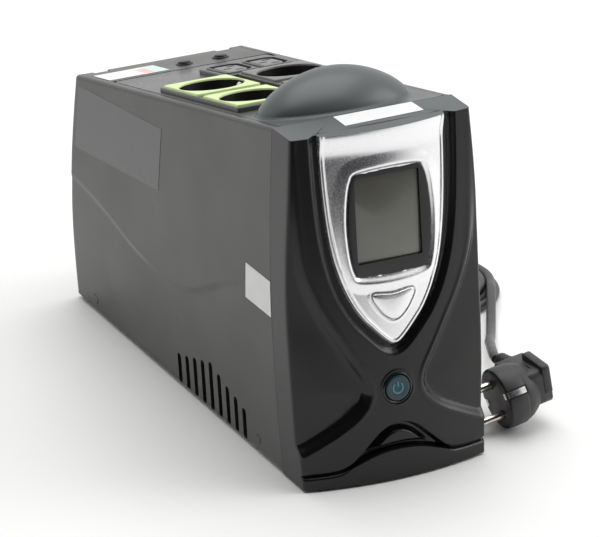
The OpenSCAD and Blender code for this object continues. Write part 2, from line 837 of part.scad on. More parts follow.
module plug_earth_clips() {
    y0 = plug_d / 2 - 2.5;
    color([0.75, 0.72, 0.66]) at_plug() rotate([0, 0, pin_turn])
        for (m = [-1, 1]) rotate([0, 0, 90 * m]) big_box(y0, y0 + 1, -2.5, 2.5, 0.1 - plug_rim, -0.1);
}

module plug_relief() {
    color([0.12, 0.12, 0.12]) at_plug() translate([0, relief_y + eps, lead_z]) rotate([-90, 0, 0])
        cylinder(r1 = 5.9, r2 = 4, h = relief_l);
}

// ---- plain labels ----
module labels() {
    color([0.93, 0.93, 0.92]) {
        on_top() big_box(-52.8, -12, 242, 268, 0.02, 0.3);
        place() big_box(-19.5, 32, 28, crease_y - 0.5, front_h + 0.02, front_h + 0.3);
        place() big_box(-body_w / 2 - 0.25, -body_w / 2 - 0.05, 23.5, 69, 98.5, 120);
    }
}

front_bezel();
front_shield();
display_frame();
display_lens();
display_board();
select_button();
select_switch();
power_ring();
power_button();
power_switch();
left_cover();
right_cover();
base_tray();
rear_panel();
top_hood();
outlet_panel();
socket_green_front();
socket_green_rear();
socket_grey_front();
socket_grey_rear();
earth_clips();
socket_contacts();
iec_outlet_left();
iec_outlet_right();
iec_contacts();
input_breaker();
input_breaker_button();
output_breaker();
output_breaker_button();
battery_block();
battery_terminals();
battery_strap();
battery_leads();
transformer_core();
transformer_windings();
transformer_clamp();
transformer_bolts();
main_board();
heatsinks();
power_transistors();
relays();
capacitors();
controller_chip();
buzzer();
fuse();
cover_screws();
board_screws();
feet();
inlet_wires();
cord_gland();
cord_rear();
cord_coil();
cord_front();
cord_tie();
plug_relief();
plug_body();
plug_pins();
plug_earth_clips();
labels();
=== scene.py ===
"""Looks of a tower uninterruptible power supply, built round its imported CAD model."""

import math

import bmesh
import bpy
import numpy as np
from mathutils import Matrix, Vector


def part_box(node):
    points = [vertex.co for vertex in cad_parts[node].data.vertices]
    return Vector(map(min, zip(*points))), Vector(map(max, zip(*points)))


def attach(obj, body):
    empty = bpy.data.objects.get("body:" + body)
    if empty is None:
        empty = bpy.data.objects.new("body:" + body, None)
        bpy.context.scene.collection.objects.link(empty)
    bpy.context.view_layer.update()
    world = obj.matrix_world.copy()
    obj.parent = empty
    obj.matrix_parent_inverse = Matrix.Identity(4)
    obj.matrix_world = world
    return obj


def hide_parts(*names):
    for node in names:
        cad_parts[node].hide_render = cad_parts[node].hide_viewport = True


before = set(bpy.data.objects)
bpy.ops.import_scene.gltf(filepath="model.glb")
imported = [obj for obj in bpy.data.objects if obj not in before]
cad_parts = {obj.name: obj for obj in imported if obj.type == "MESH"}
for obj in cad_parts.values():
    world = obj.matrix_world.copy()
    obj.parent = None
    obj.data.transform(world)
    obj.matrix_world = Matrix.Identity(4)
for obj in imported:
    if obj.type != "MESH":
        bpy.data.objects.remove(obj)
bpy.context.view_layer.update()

# ---- sizes, in millimetres; y runs from the front corners to the rear, z up from the floor ----
MM = 0.001
front_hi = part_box("front_bezel")[1]
rear_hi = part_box("rear_panel")[1]
BODY_D = 320.0
MID_Y = BODY_D - rear_hi.y / MM
FRONT_H = front_hi.z / MM
REAR_H = 150.0
FOOT_H = 1.5
LEAN = 21.0
CREASE_Y = 44.0
SEAM_FOOT = 28.0
HALF_FOOT, HALF_TOP, HALF_MID = 59.5, 58.0, 63.0
SIDE_X = 53.3
WALL = 2.5
EDGE_R = 2.4
SLOPE = (FRONT_H - REAR_H) / (BODY_D - 2.0 - CREASE_Y)
SLOPE_A = math.atan(SLOPE)
# distance down the slope where the rear panel's strip begins
STRIP_S = 237.2
GAP = 0.25
WELL_R, WELL_DEPTH, WELL_HOLE_R = 19.75, 17.5, 20.8
BEZEL_W, BEZEL_D = 20.9, 24.4
BEZEL_H, BLOCK_H = 4.5, 3.0
PIN_PITCH = 19.0
SOCKETS = {
    "green_front": (-28.2, 88.0), "green_rear": (-28.2, 144.5),
    "grey_front": (23.5, 88.0), "grey_rear": (23.5, 144.5),
}
APPLIANCE_X, APPLIANCE_S = (6.4, 30.6), 190.0
BREAKER_X, BREAKER_S = (3.4, 28.2), 253.5
GLAND_X, GLAND_Z = 36, 24
POWER_Z = 56.3
SHARP_ANGLE = 35.0


# ---- small tools ----
def smoothstep(t):
    t = np.clip(t, 0.0, 1.0)
    return t * t * (3.0 - 2.0 * t)


def curve(points, count, closed=False):
    """Catmull-Rom curve through the points, as an array of count places."""
    p = np.array(points, float)
    n = len(p)
    if closed:
        ext = np.vstack([p[-1], p, p[0], p[1]])
        spans = n
    else:
        ext = np.vstack([2 * p[0] - p[1], p, 2 * p[-1] - p[-2]])
        spans = n - 1
    t = np.linspace(0, spans, count, endpoint=not closed)
    k = np.minimum(t.astype(int), spans - 1)
    f = (t - k)[:, None]
    a, b, c, d = ext[k], ext[k + 1], ext[k + 2], ext[k + 3]
    return 0.5 * (2 * b + (c - a) * f + (2 * a - 5 * b + 4 * c - d) * f**2 + (3 * b - a - 3 * c + d) * f**3)


def distance_to(x, z, line):
    """Distance of each place (x, z) to a polyline."""
    best = np.full(np.shape(x), 1e9)
    for (x0, z0), (x1, z1) in zip(line[:-1], line[1:]):
        dx, dz = x1 - x0, z1 - z0
        t = np.clip(((x - x0) * dx + (z - z0) * dz) / max(dx * dx + dz * dz, 1e-9), 0, 1)
        best = np.minimum(best, np.hypot(x - x0 - t * dx, z - z0 - t * dz))
    return best


def place(points):
    """Body millimetres to metres in the model's frame."""
    p = np.array(points, float).reshape(-1, 3).copy()
    p[:, 1] -= MID_Y
    return p * MM


def on_slope(points):
    """Places (x, distance down the slope, height over it) to body millimetres."""
    p = np.array(points, float).reshape(-1, 3)
    c, s = math.cos(SLOPE_A), math.sin(SLOPE_A)
    return np.stack([p[:, 0], CREASE_Y + p[:, 1] * c + p[:, 2] * s, FRONT_H - p[:, 1] * s + p[:, 2] * c], 1)


def plane_y(z):
    """Depth of the leaning front plane at height z."""
    return LEAN * z / FRONT_H


def on_front(points):
    """Places (x, height, distance out of the leaning front plane) to body millimetres."""
    p = np.array(points, float).reshape(-1, 3)
    return np.stack([p[:, 0], plane_y(p[:, 1]) - p[:, 2], p[:, 1]], 1)


def new_object(name, points, faces, clean):
    """A mesh object from body millimetres with its faces turned outwards; clean joins equal points."""
    mesh = bpy.data.meshes.new(name)
    mesh.from_pydata(place(points).tolist(), [], [tuple(int(i) for i in f) for f in faces])
    bm = bmesh.new()
    bm.from_mesh(mesh)
    if clean:
        bmesh.ops.remove_doubles(bm, verts=bm.verts, dist=1e-6)
        bmesh.ops.dissolve_degenerate(bm, edges=bm.edges, dist=1e-6)
    bmesh.ops.recalc_face_normals(bm, faces=bm.faces)
    bm.to_mesh(mesh)
    bm.free()
    obj = bpy.data.objects.new(name, mesh)
    bpy.context.scene.collection.objects.link(obj)
    return obj


def piece(name, points, faces, material, slot, body="case", smooth=True, replaces=()):
    """A mesh piece that rides on a body of the CAD model and may stand for some of its nodes."""
    obj = new_object(name, points, faces, clean=True)
    obj.data.materials.append(material)
    if smooth:
        shade(obj, SHARP_ANGLE)
    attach(obj, body)
    if replaces:
        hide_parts(*replaces)
    return obj


def shade(obj, angle):
    """Smooth shading, with sharp edges where faces meet at more than the angle."""
    mesh = obj.data
    bm = bmesh.new()
    bm.from_mesh(mesh)
    for f in bm.faces:
        f.smooth = True
    for e in bm.edges:
        e.smooth = len(e.link_faces) != 2 or e.calc_face_angle(0.0) < math.radians(angle)
    bm.to_mesh(mesh)
    bm.free()


def grid_faces(rows, cols, start=0, wrap=False):
    faces = []
    for r in range(rows - 1):
        for c in range(cols if wrap else cols - 1):
            d = (c + 1) % cols
            a, b = start + r * cols, start + (r + 1) * cols
            faces.append((a + c, a + d, b + d, b + c))
    return faces


def shell(outer, inner):
    """Closed skin from two grids of the same size: an outer and an inner face, joined at the rim."""
    rows, cols = outer.shape[:2]
    n = rows * cols
    faces = grid_faces(rows, cols) + [f[::-1] for f in grid_faces(rows, cols, n)]
    rim = [r * cols for r in range(rows)] + [(rows - 1) * cols + c for c in range(1, cols)]
    rim += [r * cols + cols - 1 for r in range(rows - 2, -1, -1)] + list(range(cols - 2, 0, -1))
    for a, b in zip(rim, rim[1:] + rim[:1]):
        faces.append((a, b, b + n, a + n))
    return np.vstack([outer.reshape(-1, 3), inner.reshape(-1, 3)]), faces


def loft(loops, cap_first=True, cap_last=True):
    """Skin through closed loops of equal length."""
    n = len(loops[0])
    points = np.vstack(loops)
    faces = grid_faces(len(loops), n, wrap=True)
    if cap_first:
        faces.append(tuple(range(n))[::-1])
    if cap_last:
        faces.append(tuple(range((len(loops) - 1) * n, len(loops) * n)))
    return points, faces


def ring_skin(loops):
    """Skin through closed loops that close on themselves like the section of a ring."""
    n = len(loops[0])
    points, faces = loft(loops, False, False)
    top = (len(loops) - 1) * n
    faces += [(i, (i + 1) % n, top + (i + 1) % n, top + i) for i in range(n)]
    return points, faces


def joined(parts):
    """Several (points, faces) pairs as one."""
    points, faces = [], []
    for p, f in parts:
        faces += [tuple(len(points) + k for k in face) for face in f]
        points += np.array(p).tolist()
    return np.array(points), faces


def box_points(x0, x1, y0, y1, z0, z1):
    corners = ((x0, y0), (x1, y0), (x1, y1), (x0, y1))
    points = np.array([(x, y, z) for z in (z0, z1) for x, y in corners], float)
    return points, [(0, 3, 2, 1), (4, 5, 6, 7), (0, 1, 5, 4), (1, 2, 6, 5), (2, 3, 7, 6), (3, 0, 4, 7)]


def lathe(profile, steps=48):
    """Loops of a turned shape about the local z axis, from (radius, height) pairs."""
    a = np.linspace(0, 2 * math.pi, steps, endpoint=False)
    return [np.stack([r * np.cos(a), r * np.sin(a), np.full(steps, h)], 1) for r, h in profile]


def round_outline(w, d, r, steps=6):
    """Rounded rectangle about the origin, half sizes w and d, counter-clockwise."""
    out = []
    for k, (sx, sy) in enumerate(((1, 1), (-1, 1), (-1, -1), (1, -1))):
        for i in range(steps + 1):
            a = math.pi / 2 * (k + i / steps)
            out.append((sx * (w - r) + r * math.cos(a), sy * (d - r) + r * math.sin(a)))
    return np.array(out)


def level(outline, height, shift=(0.0, 0.0)):
    o = np.array(outline, float)
    return np.column_stack([o[:, 0] + shift[0], o[:, 1] + shift[1], np.full(len(o), height)])


def inset(outline, amount):
    """Outline moved inwards along its own normals."""
    o = np.array(outline, float)
    t = np.roll(o, -1, 0) - np.roll(o, 1, 0)
    n = np.column_stack([-t[:, 1], t[:, 0]]) / np.linalg.norm(t, axis=1)[:, None]
    return o + n * amount


def slab(outline, low, high, bevel=0.5, shift=(0.0, 0.0), steps=3):
    """Loops of a plate with a rounded upper edge."""
    loops = [level(outline, low, shift), level(outline, high - bevel, shift)]
    for k in range(1, steps + 1):
        a = math.pi / 2 * k / steps
        edge = inset(outline, bevel * (1 - math.cos(a)))
        loops.append(level(edge, high - bevel + bevel * math.sin(a), shift))
    return loops


def slope_lathe(profile, steps, at):
    """Loops of a turned shape that stands on the slope at (x, distance down, height)."""
    return [on_slope(loop + np.array(at)) for loop in lathe(profile, steps)]


def mirrored(half):
    """Outline from its left end to its right end, from the half that starts in the middle."""
    return [(-x, z) for x, z in half[:0:-1]] + half


def cut(obj, cutters):
    """Takes the cutters out of a piece and deletes them."""
    bpy.context.view_layer.objects.active = obj
    for tool in cutters:
        mod = obj.modifiers.new("cut", "BOOLEAN")
        mod.operation, mod.solver, mod.object = "DIFFERENCE", "EXACT", tool
        with bpy.context.temp_override(object=obj, active_object=obj):
            bpy.ops.object.modifier_apply(modifier=mod.name)
        bpy.data.objects.remove(tool, do_unlink=True)
    shade(obj, SHARP_ANGLE)


def cutter(points, faces):
    """A tool for cut()."""
    return new_object("cutter", points, faces, clean=False)


# ---- the case's outer form ----
def half_width(z, top=None):
    """Half width of the barrelled side at height z, under a top at the given height."""
    f = np.clip(z / (FRONT_H if top is None else top), 0.0, 1.0)
    edge = HALF_FOOT + (HALF_TOP - HALF_FOOT) * f
    return edge + (HALF_MID - (HALF_FOOT + HALF_TOP) / 2) * np.sin(math.pi * f)


def top_z(y):
    return FRONT_H - np.maximum(y - CREASE_Y, 0.0) * SLOPE


def seam_y(z):
    """Depth of the joint between the front moulding and the side covers."""
    return SEAM_FOOT + (CREASE_Y - SEAM_FOOT) * z / FRONT_H


def front_bow(z):
    return 8.5 - 4.0 * z / FRONT_H


def bow_out(x, z):
    return front_bow(z) * (1.0 - (x / HALF_FOOT) ** 2)


# Half of the waisted figure on the front, from its foot to its top: (x, height)
WAIST = [
    (66, 20), (60, 22.6), (43, 31), (29, 39), (21, 46), (17.6, 52), (16.9, 57), (19.3, 65), (27.2, 78),
    (36, 93), (43.6, 106), (50.2, 121), (54.2, 136), (56, 160), (57, 190), (57.6, 215),
]
# Half of the shield's outline, from its tip to its top: (x, height)
SHIELD = [
    (0, 83.4), (1.6, 83.6), (4.5, 85.2), (9, 89.3), (15, 95.6), (20.5, 102), (26.5, 112),
    (31.5, 124), (35.3, 138), (38, 155), (39.6, 175), (40.4, 195), (40.7, 213.5),
]
# Hollow over the foot strip, and the strip's upper edge
ARCH = mirrored([(0, 35.2), (6, 34.3), (13, 30.5), (23, 21.5), (33, 12.5), (42, 6.5)])
STRIP = mirrored([(0, 19), (14, 17.6), (28, 13), (38, 9.4), (56, 8.6), (64, 8.5)])
# Outline of the display's opening, which is a little wider on the right
DISPLAY = [
    (-18, 126.4), (1, 125.2), (20, 126.4), (23.6, 129.4), (25.8, 140), (26.8, 156.5), (25.7, 173),
    (23.4, 183.4), (19.6, 186.7), (1, 188), (-17.6, 186.7), (-21.4, 183.4), (-23.7, 173), (-24.8, 156.5),
    (-23.8, 140), (-21.6, 129.4),
]
# The silver rim round the opening: its width, its height and the window's depth in it
RIM, RIM_OUT, WINDOW_DEEP = 3.8, 1.3, 1.0
PANEL_AT, PANEL_W, PANEL_H = (0.1, 159.2), 20.9, 25.6
SELECT_HALF = [
    (0, 98.9), (3.4, 99.9), (8, 104), (12.1, 110), (13.4, 113.2), (12.6, 115.2), (9.5, 115.4), (0, 114.4),
]
SELECT = SELECT_HALF + [(-x, z) for x, z in SELECT_HALF[-2:0:-1]]
SHIELD_LINE = curve(SHIELD, 90)
SHIELD_BOTH = np.vstack([SHIELD_LINE[::-1] * (-1, 1), SHIELD_LINE[1:]])
WAIST_LINE = curve(WAIST, 90)
ARCH_LINE = curve(ARCH, 60)
STRIP_LINE = curve(STRIP, 60)
DISPLAY_LINE = curve(DISPLAY, 128, closed=True)
SELECT_LINE = curve(SELECT, 112, closed=True)


def signed(x, z, line, inside):
    return np.where(inside, -1.0, 1.0) * distance_to(x, z, line)


def from_shield(x, z):
    """Distance outside the shield's outline, negative within it."""
    w = np.interp(z, SHIELD_LINE[:, 1], SHIELD_LINE[:, 0], left=-1.0)
    return signed(x, z, SHIELD_BOTH, np.abs(x) < w)


def within(x, z, line):
    """Which places lie inside a closed outline."""
    inside = np.zeros(np.shape(x), bool)
    for (x0, z0), (x1, z1) in zip(line, np.roll(line, -1, 0)):
        crosses = (z0 > z) != (z1 > z)
        at = x0 + (z - z0) * (x1 - x0) / (z1 - z0 if z1 != z0 else 1e-9)
        inside ^= crosses & (x < at)
    return inside


def from_outline(x, z, line):
    return signed(x, z, np.vstack([line, line[:1]]), within(x, z, line))


def relief(x, z):
    """How far the front moulding's face stands out of the leaning plane."""
    out = bow_out(x, z)
    ax = np.abs(x)
    # pads on both sides of the waisted figure
    edge = np.interp(z, WAIST_LINE[:, 1], WAIST_LINE[:, 0], left=80.0)
    d = signed(ax, z, WAIST_LINE, ax < edge)
    fade = 1.0 - 0.75 * smoothstep((z - 95) / 90)
    pad = smoothstep((d + 0.6) / 5.4)
    out = out - 4.4 * fade * pad + 0.9 * fade * smoothstep((d - 5) / 26)
    out = out + 0.35 * fade * np.exp(-(((d + 1.6) / 1.4) ** 2))
    # stepped channel round the shield
    ds = from_shield(x, z)
    channel = 1.0 - smoothstep((ds - 3.3) / 3.9)
    steps = 0.8 * smoothstep((ds - 1.9) / 0.5) + 0.7 * smoothstep((ds - 3.2) / 0.5)
    out = out - (3.9 - steps) * channel
    out = np.where(ds < -1.0, out - 2.0, out)
    # triangular hollow over the foot strip, and the line between strip and legs
    roof = np.interp(x, ARCH_LINE[:, 0], ARCH_LINE[:, 1], left=-10, right=-10)
    strip = np.interp(x, STRIP_LINE[:, 0], STRIP_LINE[:, 1])
    da = signed(x, z, ARCH_LINE, z < roof)
    db = signed(x, z, STRIP_LINE, z < strip)
    hollow = smoothstep((0.4 - da) / 2.4)
    under = smoothstep((db + 0.2) / 1.3)
    island = smoothstep((-da - 3.4) / 3.0) * smoothstep((db - 1.6) / 3.0)
    out = out - hollow * under * (5.6 - 4.0 * island)
    out = out - 2.4 * (1 - hollow) * np.exp(-(((db - 1.0) / 1.1) ** 2))
    # seat of the power button
    dp = np.hypot(x, z - POWER_Z)
    out = out + 0.3 * np.exp(-(((dp - 10.4) / 0.7) ** 2)) - 5.0 * smoothstep((9.7 - dp) / 0.8)
    return out


# mesh columns between the edges that they follow: shield, channel steps, waist, corner
COLUMNS = (34, 5, 5, 12, 8, 16, 9)
FOLD = np.array([0.0, 17.0, 23.0, 48.0])


def front_columns(z, flat):
    """Places across one row, crowded at and parallel to the shield's channel and the waist."""
    fine = np.linspace(0.0, flat, 240)
    out_of = np.maximum.accumulate(from_shield(fine, np.full_like(fine, z)))
    knots = [0.0] + [float(np.interp(d, out_of, fine, left=0.0)) for d in (0.0, 1.9, 3.3, 7.2)]
    waist = float(np.interp(z, WAIST_LINE[:, 1], WAIST_LINE[:, 0], left=flat))
    knots += [min(waist - 2.0, flat - 1.0), min(waist + 5.5, flat - 0.5), flat]
    count = np.cumsum(COLUMNS[:4])
    for k in range(1, 5):
        knots[k] = max(knots[k], knots[5] * count[k - 1] / (count[-1] + COLUMNS[4]))
    for k in range(1, len(knots)):
        knots[k] = max(knots[k], knots[k - 1] + 0.02 * COLUMNS[k - 1])
    spans = zip(knots[:-1], knots[1:], COLUMNS)
    half = np.concatenate([[0.0]] + [np.linspace(a, b, n + 1)[1:] for a, b, n in spans])
    half *= flat / half[-1]
    return np.concatenate([-half[:0:-1], half])


def front_heights(x, row):
    """Heights along one row: near the foot the rows follow the strip's upper edge."""
    strip = np.interp(x, STRIP_LINE[:, 0], STRIP_LINE[:, 1])
    target = [np.full_like(strip, FOLD[0]), strip - 2.0, strip + 4.0, np.full_like(strip, FOLD[3])]
    k = int(np.clip(np.searchsorted(FOLD, row) - 1, 0, 2))
    t = (row - FOLD[k]) / (FOLD[k + 1] - FOLD[k])
    return target[k] * (1 - t) + target[k + 1] * t if row < FOLD[3] else np.full_like(strip, row)


def front_skin(depth, rows):
    """Grid of the moulding: depth is how far inside the outer face."""
    turn = np.linspace(0, 1, 6)
    back = np.linspace(0, 1, 9)
    r = max(EDGE_R - depth, 0.2)
    grid = []
    for row in rows:
        corner = float(front_heights(np.array([HALF_FOOT]), row)[0])
        side_z = min(max(corner, FOOT_H + depth), FRONT_H - depth)
        hw = float(half_width(side_z)) - depth
        flat = hw - r
        x = front_columns(row, flat)
        z = np.clip(front_heights(x, row), FOOT_H + depth, FRONT_H - depth)
        out = relief(x, z) if depth == 0 else bow_out(x, z) - depth - 5.0
        y = plane_y(z) - out
        y0, y1 = y[0], y[-1]
        seam = float(seam_y(side_z)) - GAP / 2
        arc = turn[1:-1] * math.pi / 2
        left_side = [(-hw, seam + (y0 + r - seam) * t, side_z) for t in back]
        left_turn = [(-hw + r * (1 - math.cos(a)), y0 + r * (1 - math.sin(a)), side_z) for a in arc]
        face = list(zip(x, y, z))
        right_turn = [(hw - r * (1 - math.cos(a)), y1 + r * (1 - math.sin(a)), side_z) for a in arc[::-1]]
        right_side = [(hw, y1 + r + (seam - y1 - r) * t, side_z) for t in back]
        grid.append(left_side + left_turn + face + right_turn + right_side)
    return np.array(grid)


def painted_reflection_faces(obj, material):
    """Gives the level faces at the visor's height a second, grey material: painted reflection, standing in
    for the bright studio light that the level top reflects.
    """
    obj.data.materials.append(material)
    for face in obj.data.polygons:
        if face.normal.z > 0.8 and face.center.z > (FRONT_H - 0.5) * MM:
            face.material_index = 1


def front_moulding(material, grey):
    """Bowed front with its relief, its side returns and the level visor on top, whose top faces carry painted
    reflection in the hood's grey.
    """
    spans = ((2.6, FOLD[1], 0.9), (FOLD[1], FOLD[2], 0.3), (FOLD[2], 84.0, 0.5), (84.0, FRONT_H - 1.0, 0.85))
    lip_rows = FRONT_H - np.array([1.0, 0.6, 0.25, 0.07])
    rows = np.concatenate([[FOOT_H + 0.01]] + [np.arange(*span) for span in spans] + [lip_rows])
    outer = front_skin(0.0, rows)
    inner = front_skin(WALL, rows)
    # the visor: rows from the lip back to the crease, over the rounded lip
    lip = outer[-1]
    edge = np.linspace(-1, 1, lip.shape[0])
    flat = np.ones(len(edge))
    crease = np.column_stack([edge * (HALF_TOP - 0.6), flat * (CREASE_Y - GAP / 2), flat * FRONT_H])
    visor, under = [], []
    for t in (0.012, 0.05, 0.15, 0.3, 0.5, 0.7, 0.85, 0.95, 1.0):
        row = lip * (1 - t) + crease * t
        row[:, 2] = FRONT_H
        visor.append(row)
        low = row.copy()
        low[:, 2] = FRONT_H - WALL
        low[:, 0] *= 0.955
        under.append(low)
    outer = np.concatenate([outer, np.array(visor)])
    inner = np.concatenate([inner, np.array(under)])
    points, faces = shell(outer, inner)
    obj = piece("front_moulding", points, faces, material, "case_black", replaces=("front_bezel",))
    # painted reflection: the level visor top gets the hood's grey for the light it reflects
    painted_reflection_faces(obj, grey)


SHIELD_CROWN = 0.0033


def shield_out(x, z):
    """The silver shield's face over the leaning plane."""
    out = bow_out(0.0, z) + 0.7 - SHIELD_CROWN * x * x
    # raised rim round the display, sloping down to the window
    d = from_outline(x, z, DISPLAY_LINE)
    out = out + RIM_OUT * (1 - smoothstep((d - RIM) / 7.0))
    out = out - (RIM_OUT + WINDOW_DEEP) * (1 - smoothstep(d / RIM)) ** 1.1
    out = out - 5.0 * smoothstep((0.0 - d) / 0.8)
    # flare under the visor's lip
    out = out + 2.6 * smoothstep((z - (FRONT_H - 17.0)) / 17.0) ** 1.5
    edge = -from_shield(x, z)
    out = out - 0.4 * np.exp(-(((edge - 2.9) / 0.42) ** 2))
    key = from_outline(x, z, SELECT_LINE)
    out = out - 1.6 * smoothstep((0.75 - key) / 0.5) + 0.22 * np.exp(-(((key - 1.7) / 0.6) ** 2))
    return out - 1.5 * (1 - smoothstep(edge / 1.3)) ** 2


def silver_shield(material, grey):
    """Silver face from its tip to the visor's lip."""
    tip_rows = SHIELD[0][1] + np.array([0.0, 0.06, 0.15, 0.3])
    rows = np.concatenate([tip_rows, np.arange(84.0, FRONT_H - 0.3, 0.42), [FRONT_H]])
    cols = np.linspace(-1, 1, 171)
    cols = np.sin(cols * math.pi / 2) * 0.35 + cols * 0.65
    front, back = [], []
    for z in rows:
        w = max(float(np.interp(z, SHIELD_LINE[:, 1], SHIELD_LINE[:, 0])), 0.05)
        x = cols * w
        zz = np.full_like(x, z)
        out = shield_out(x, zz)
        front.append(on_front(np.stack([x, zz, out], 1)))
        back.append(on_front(np.stack([x, zz, np.minimum(out - 1.4, bow_out(0.0, z) - 7.0)], 1)))
    points, faces = shell(np.array(front), np.array(back))
    obj = piece("silver_shield", points, faces, material, "silver_plastic", replaces=("front_shield",))
    # painted reflection: the shield's level top faces get the same grey as the visor
    painted_reflection_faces(obj, grey)


def display(gloss, glass):
    """Black bordered window with the grey panel just behind its face."""
    panel = round_outline(PANEL_W, PANEL_H, 0.8, 7)
    centre = np.array(PANEL_AT)
    spread = np.unwrap(np.arctan2(panel[:, 1], panel[:, 0]))
    want = np.arctan2(*(DISPLAY_LINE - centre).T[::-1])
    want = spread[0] + np.mod(want - spread[0], 2 * math.pi)
    closed = np.vstack([panel, panel[:1]])
    around = np.append(spread, spread[0] + 2 * math.pi)
    rect = np.stack([np.interp(want, around, closed[:, i]) for i in (0, 1)], 1) + centre
    outline = inset(DISPLAY_LINE, -0.6)
    rings = [(outline, -6.0), (outline, -WINDOW_DEEP + 0.06), (inset(DISPLAY_LINE, 0.5), -WINDOW_DEEP + 0.1),
             (inset(DISPLAY_LINE, 1.0), -WINDOW_DEEP + 0.12), (rect, -WINDOW_DEEP + 0.12),
             (centre + (rect - centre) * 0.996, -WINDOW_DEEP - 0.4), (centre + (rect - centre) * 0.994, -6.0)]
    loops = [on_front(np.column_stack([o, bow_out(0.0, o[:, 1]) + out])) for o, out in rings]
    piece("display_surround", *ring_skin(loops), gloss, "gloss_black", replaces=("display_frame",))
    pane = round_outline(PANEL_W - 0.15, PANEL_H - 0.15, 0.7, 7) + centre
    loops = [on_front(np.column_stack([p, bow_out(0.0, p[:, 1]) - WINDOW_DEEP + out])) for p, out in
             ((pane, -4.0), (pane, -1.3), (inset(pane, 0.2), -1.2))]
    points, faces = loft(loops)
    piece("display_panel", points, faces, glass, "lens_grey", replaces=("display_lens",))


def select_key(material):
    """Shield-shaped key that stands out of the silver face."""
    line = inset(SELECT_LINE, 0.1)
    profile = [(0.0, -3.0), (0.0, 1.5), (0.12, 1.85), (0.4, 2.1), (1.0, 2.25), (3.0, 2.45), (4.6, 2.5)]
    loops = []
    for inward, out in profile:
        o = inset(line, min(inward, 1.0))
        if inward > 1.0:
            centre = o.mean(0)
            o = centre + (o - centre) * (1.0 - 0.13 * inward)
        face = bow_out(0.0, o[:, 1]) - SHIELD_CROWN * o[:, 0] ** 2
        loops.append(on_front(np.column_stack([o, face + out])))
    points, faces = loft(loops)
    piece("select_key", points, faces, material, "silver_plastic", "select_key", replaces=("select_button",))


def on_power(loops):
    """Moves loops about the local z axis to the power button's axis."""
    base = bow_out(0.0, POWER_Z)
    return [on_front(np.column_stack([l[:, 0], POWER_Z + l[:, 1], base + l[:, 2]])) for l in loops]


def power_button(black, teal, mark):
    """Round cap in a collar, with the general power sign raised on it."""
    ring = [(8.1, -7.0), (8.1, -0.3), (8.3, 0.1), (8.7, 0.35)]
    ring += [(9.1, 0.3), (9.5, 0.0), (9.6, -0.4), (9.6, -7.0)]
    collar = ring_skin(on_power(lathe(ring, 72)))
    piece("power_collar", *collar, black, "gloss_black", replaces=("power_ring",))
    cap = [(7.75, -2.6), (7.75, 0.1), (7.6, 0.45), (7.2, 0.66), (6.4, 0.72)]
    cap += [(5.0, 0.62), (3.0, 0.5), (1.0, 0.45), (0.1, 0.45)]
    key = loft(on_power(lathe(cap, 72)))
    piece("power_cap", *key, teal, "power_key", "power_key", replaces=("power_button",))
    section = ((2.75, 0.42), (2.75, 0.7), (3.55, 0.72), (3.55, 0.42))
    arc = []
    for t in np.linspace(math.radians(125), math.radians(415), 34):
        c, s = math.cos(t), math.sin(t)
        arc.append(np.array([(r * c, r * s, h) for r, h in section]))
    points, faces = joined([loft(arc), box_points(-0.4, 0.4, 0.6, 3.9, 0.42, 0.7)])
    piece("power_symbol", on_power([points])[0], faces, mark, "power_key", "power_key")


# Crease along the side covers: (y, height)
CREASE = [
    (330, 84.6), (322, 84.2), (297, 82.6), (265, 78), (234, 71.2), (214, 68.2), (202, 67.2), (190, 66.4),
    (174, 66.8), (156, 69.6), (144, 73), (125, 82), (108, 91), (92, 98.6), (77, 104.5), (60, 110), (30, 117),
]
CREASE_LINE = curve(sorted(CREASE), 120)
VENT_Y0, VENT_PITCH, VENT_W = 78.0, 11.2, 5.0
VENT_TOPS = (22.7, 25.5, 27.7, 31.1, 34.5, 31.3, 28.4, 24.9, 22.3)
VENT_LOW = 2.6
# Cover screws: places along the side and their height
SCREW_Y, SCREW_Z = (60, 290), 10


def side_inset(y, z):
    """How far the cover's wall steps in below its crease."""
    over = np.interp(y, CREASE_LINE[:, 0], CREASE_LINE[:, 1])
    d = np.where(z > over, 1.0, -1.0) * distance_to(y, z, CREASE_LINE)
    strength = 0.9 * smoothstep((y - 58) / 60) * (1 - 0.5 * smoothstep((y - 190) / 70))
    step = 1.0 - smoothstep((d + 2.6) / 4.6)
    swell = np.exp(-((np.maximum(-d, 0) / 16) ** 2))
    return strength * step * (0.35 + 0.65 * swell) - 0.12 * strength * np.exp(-(((d - 1.6) / 1.5) ** 2))


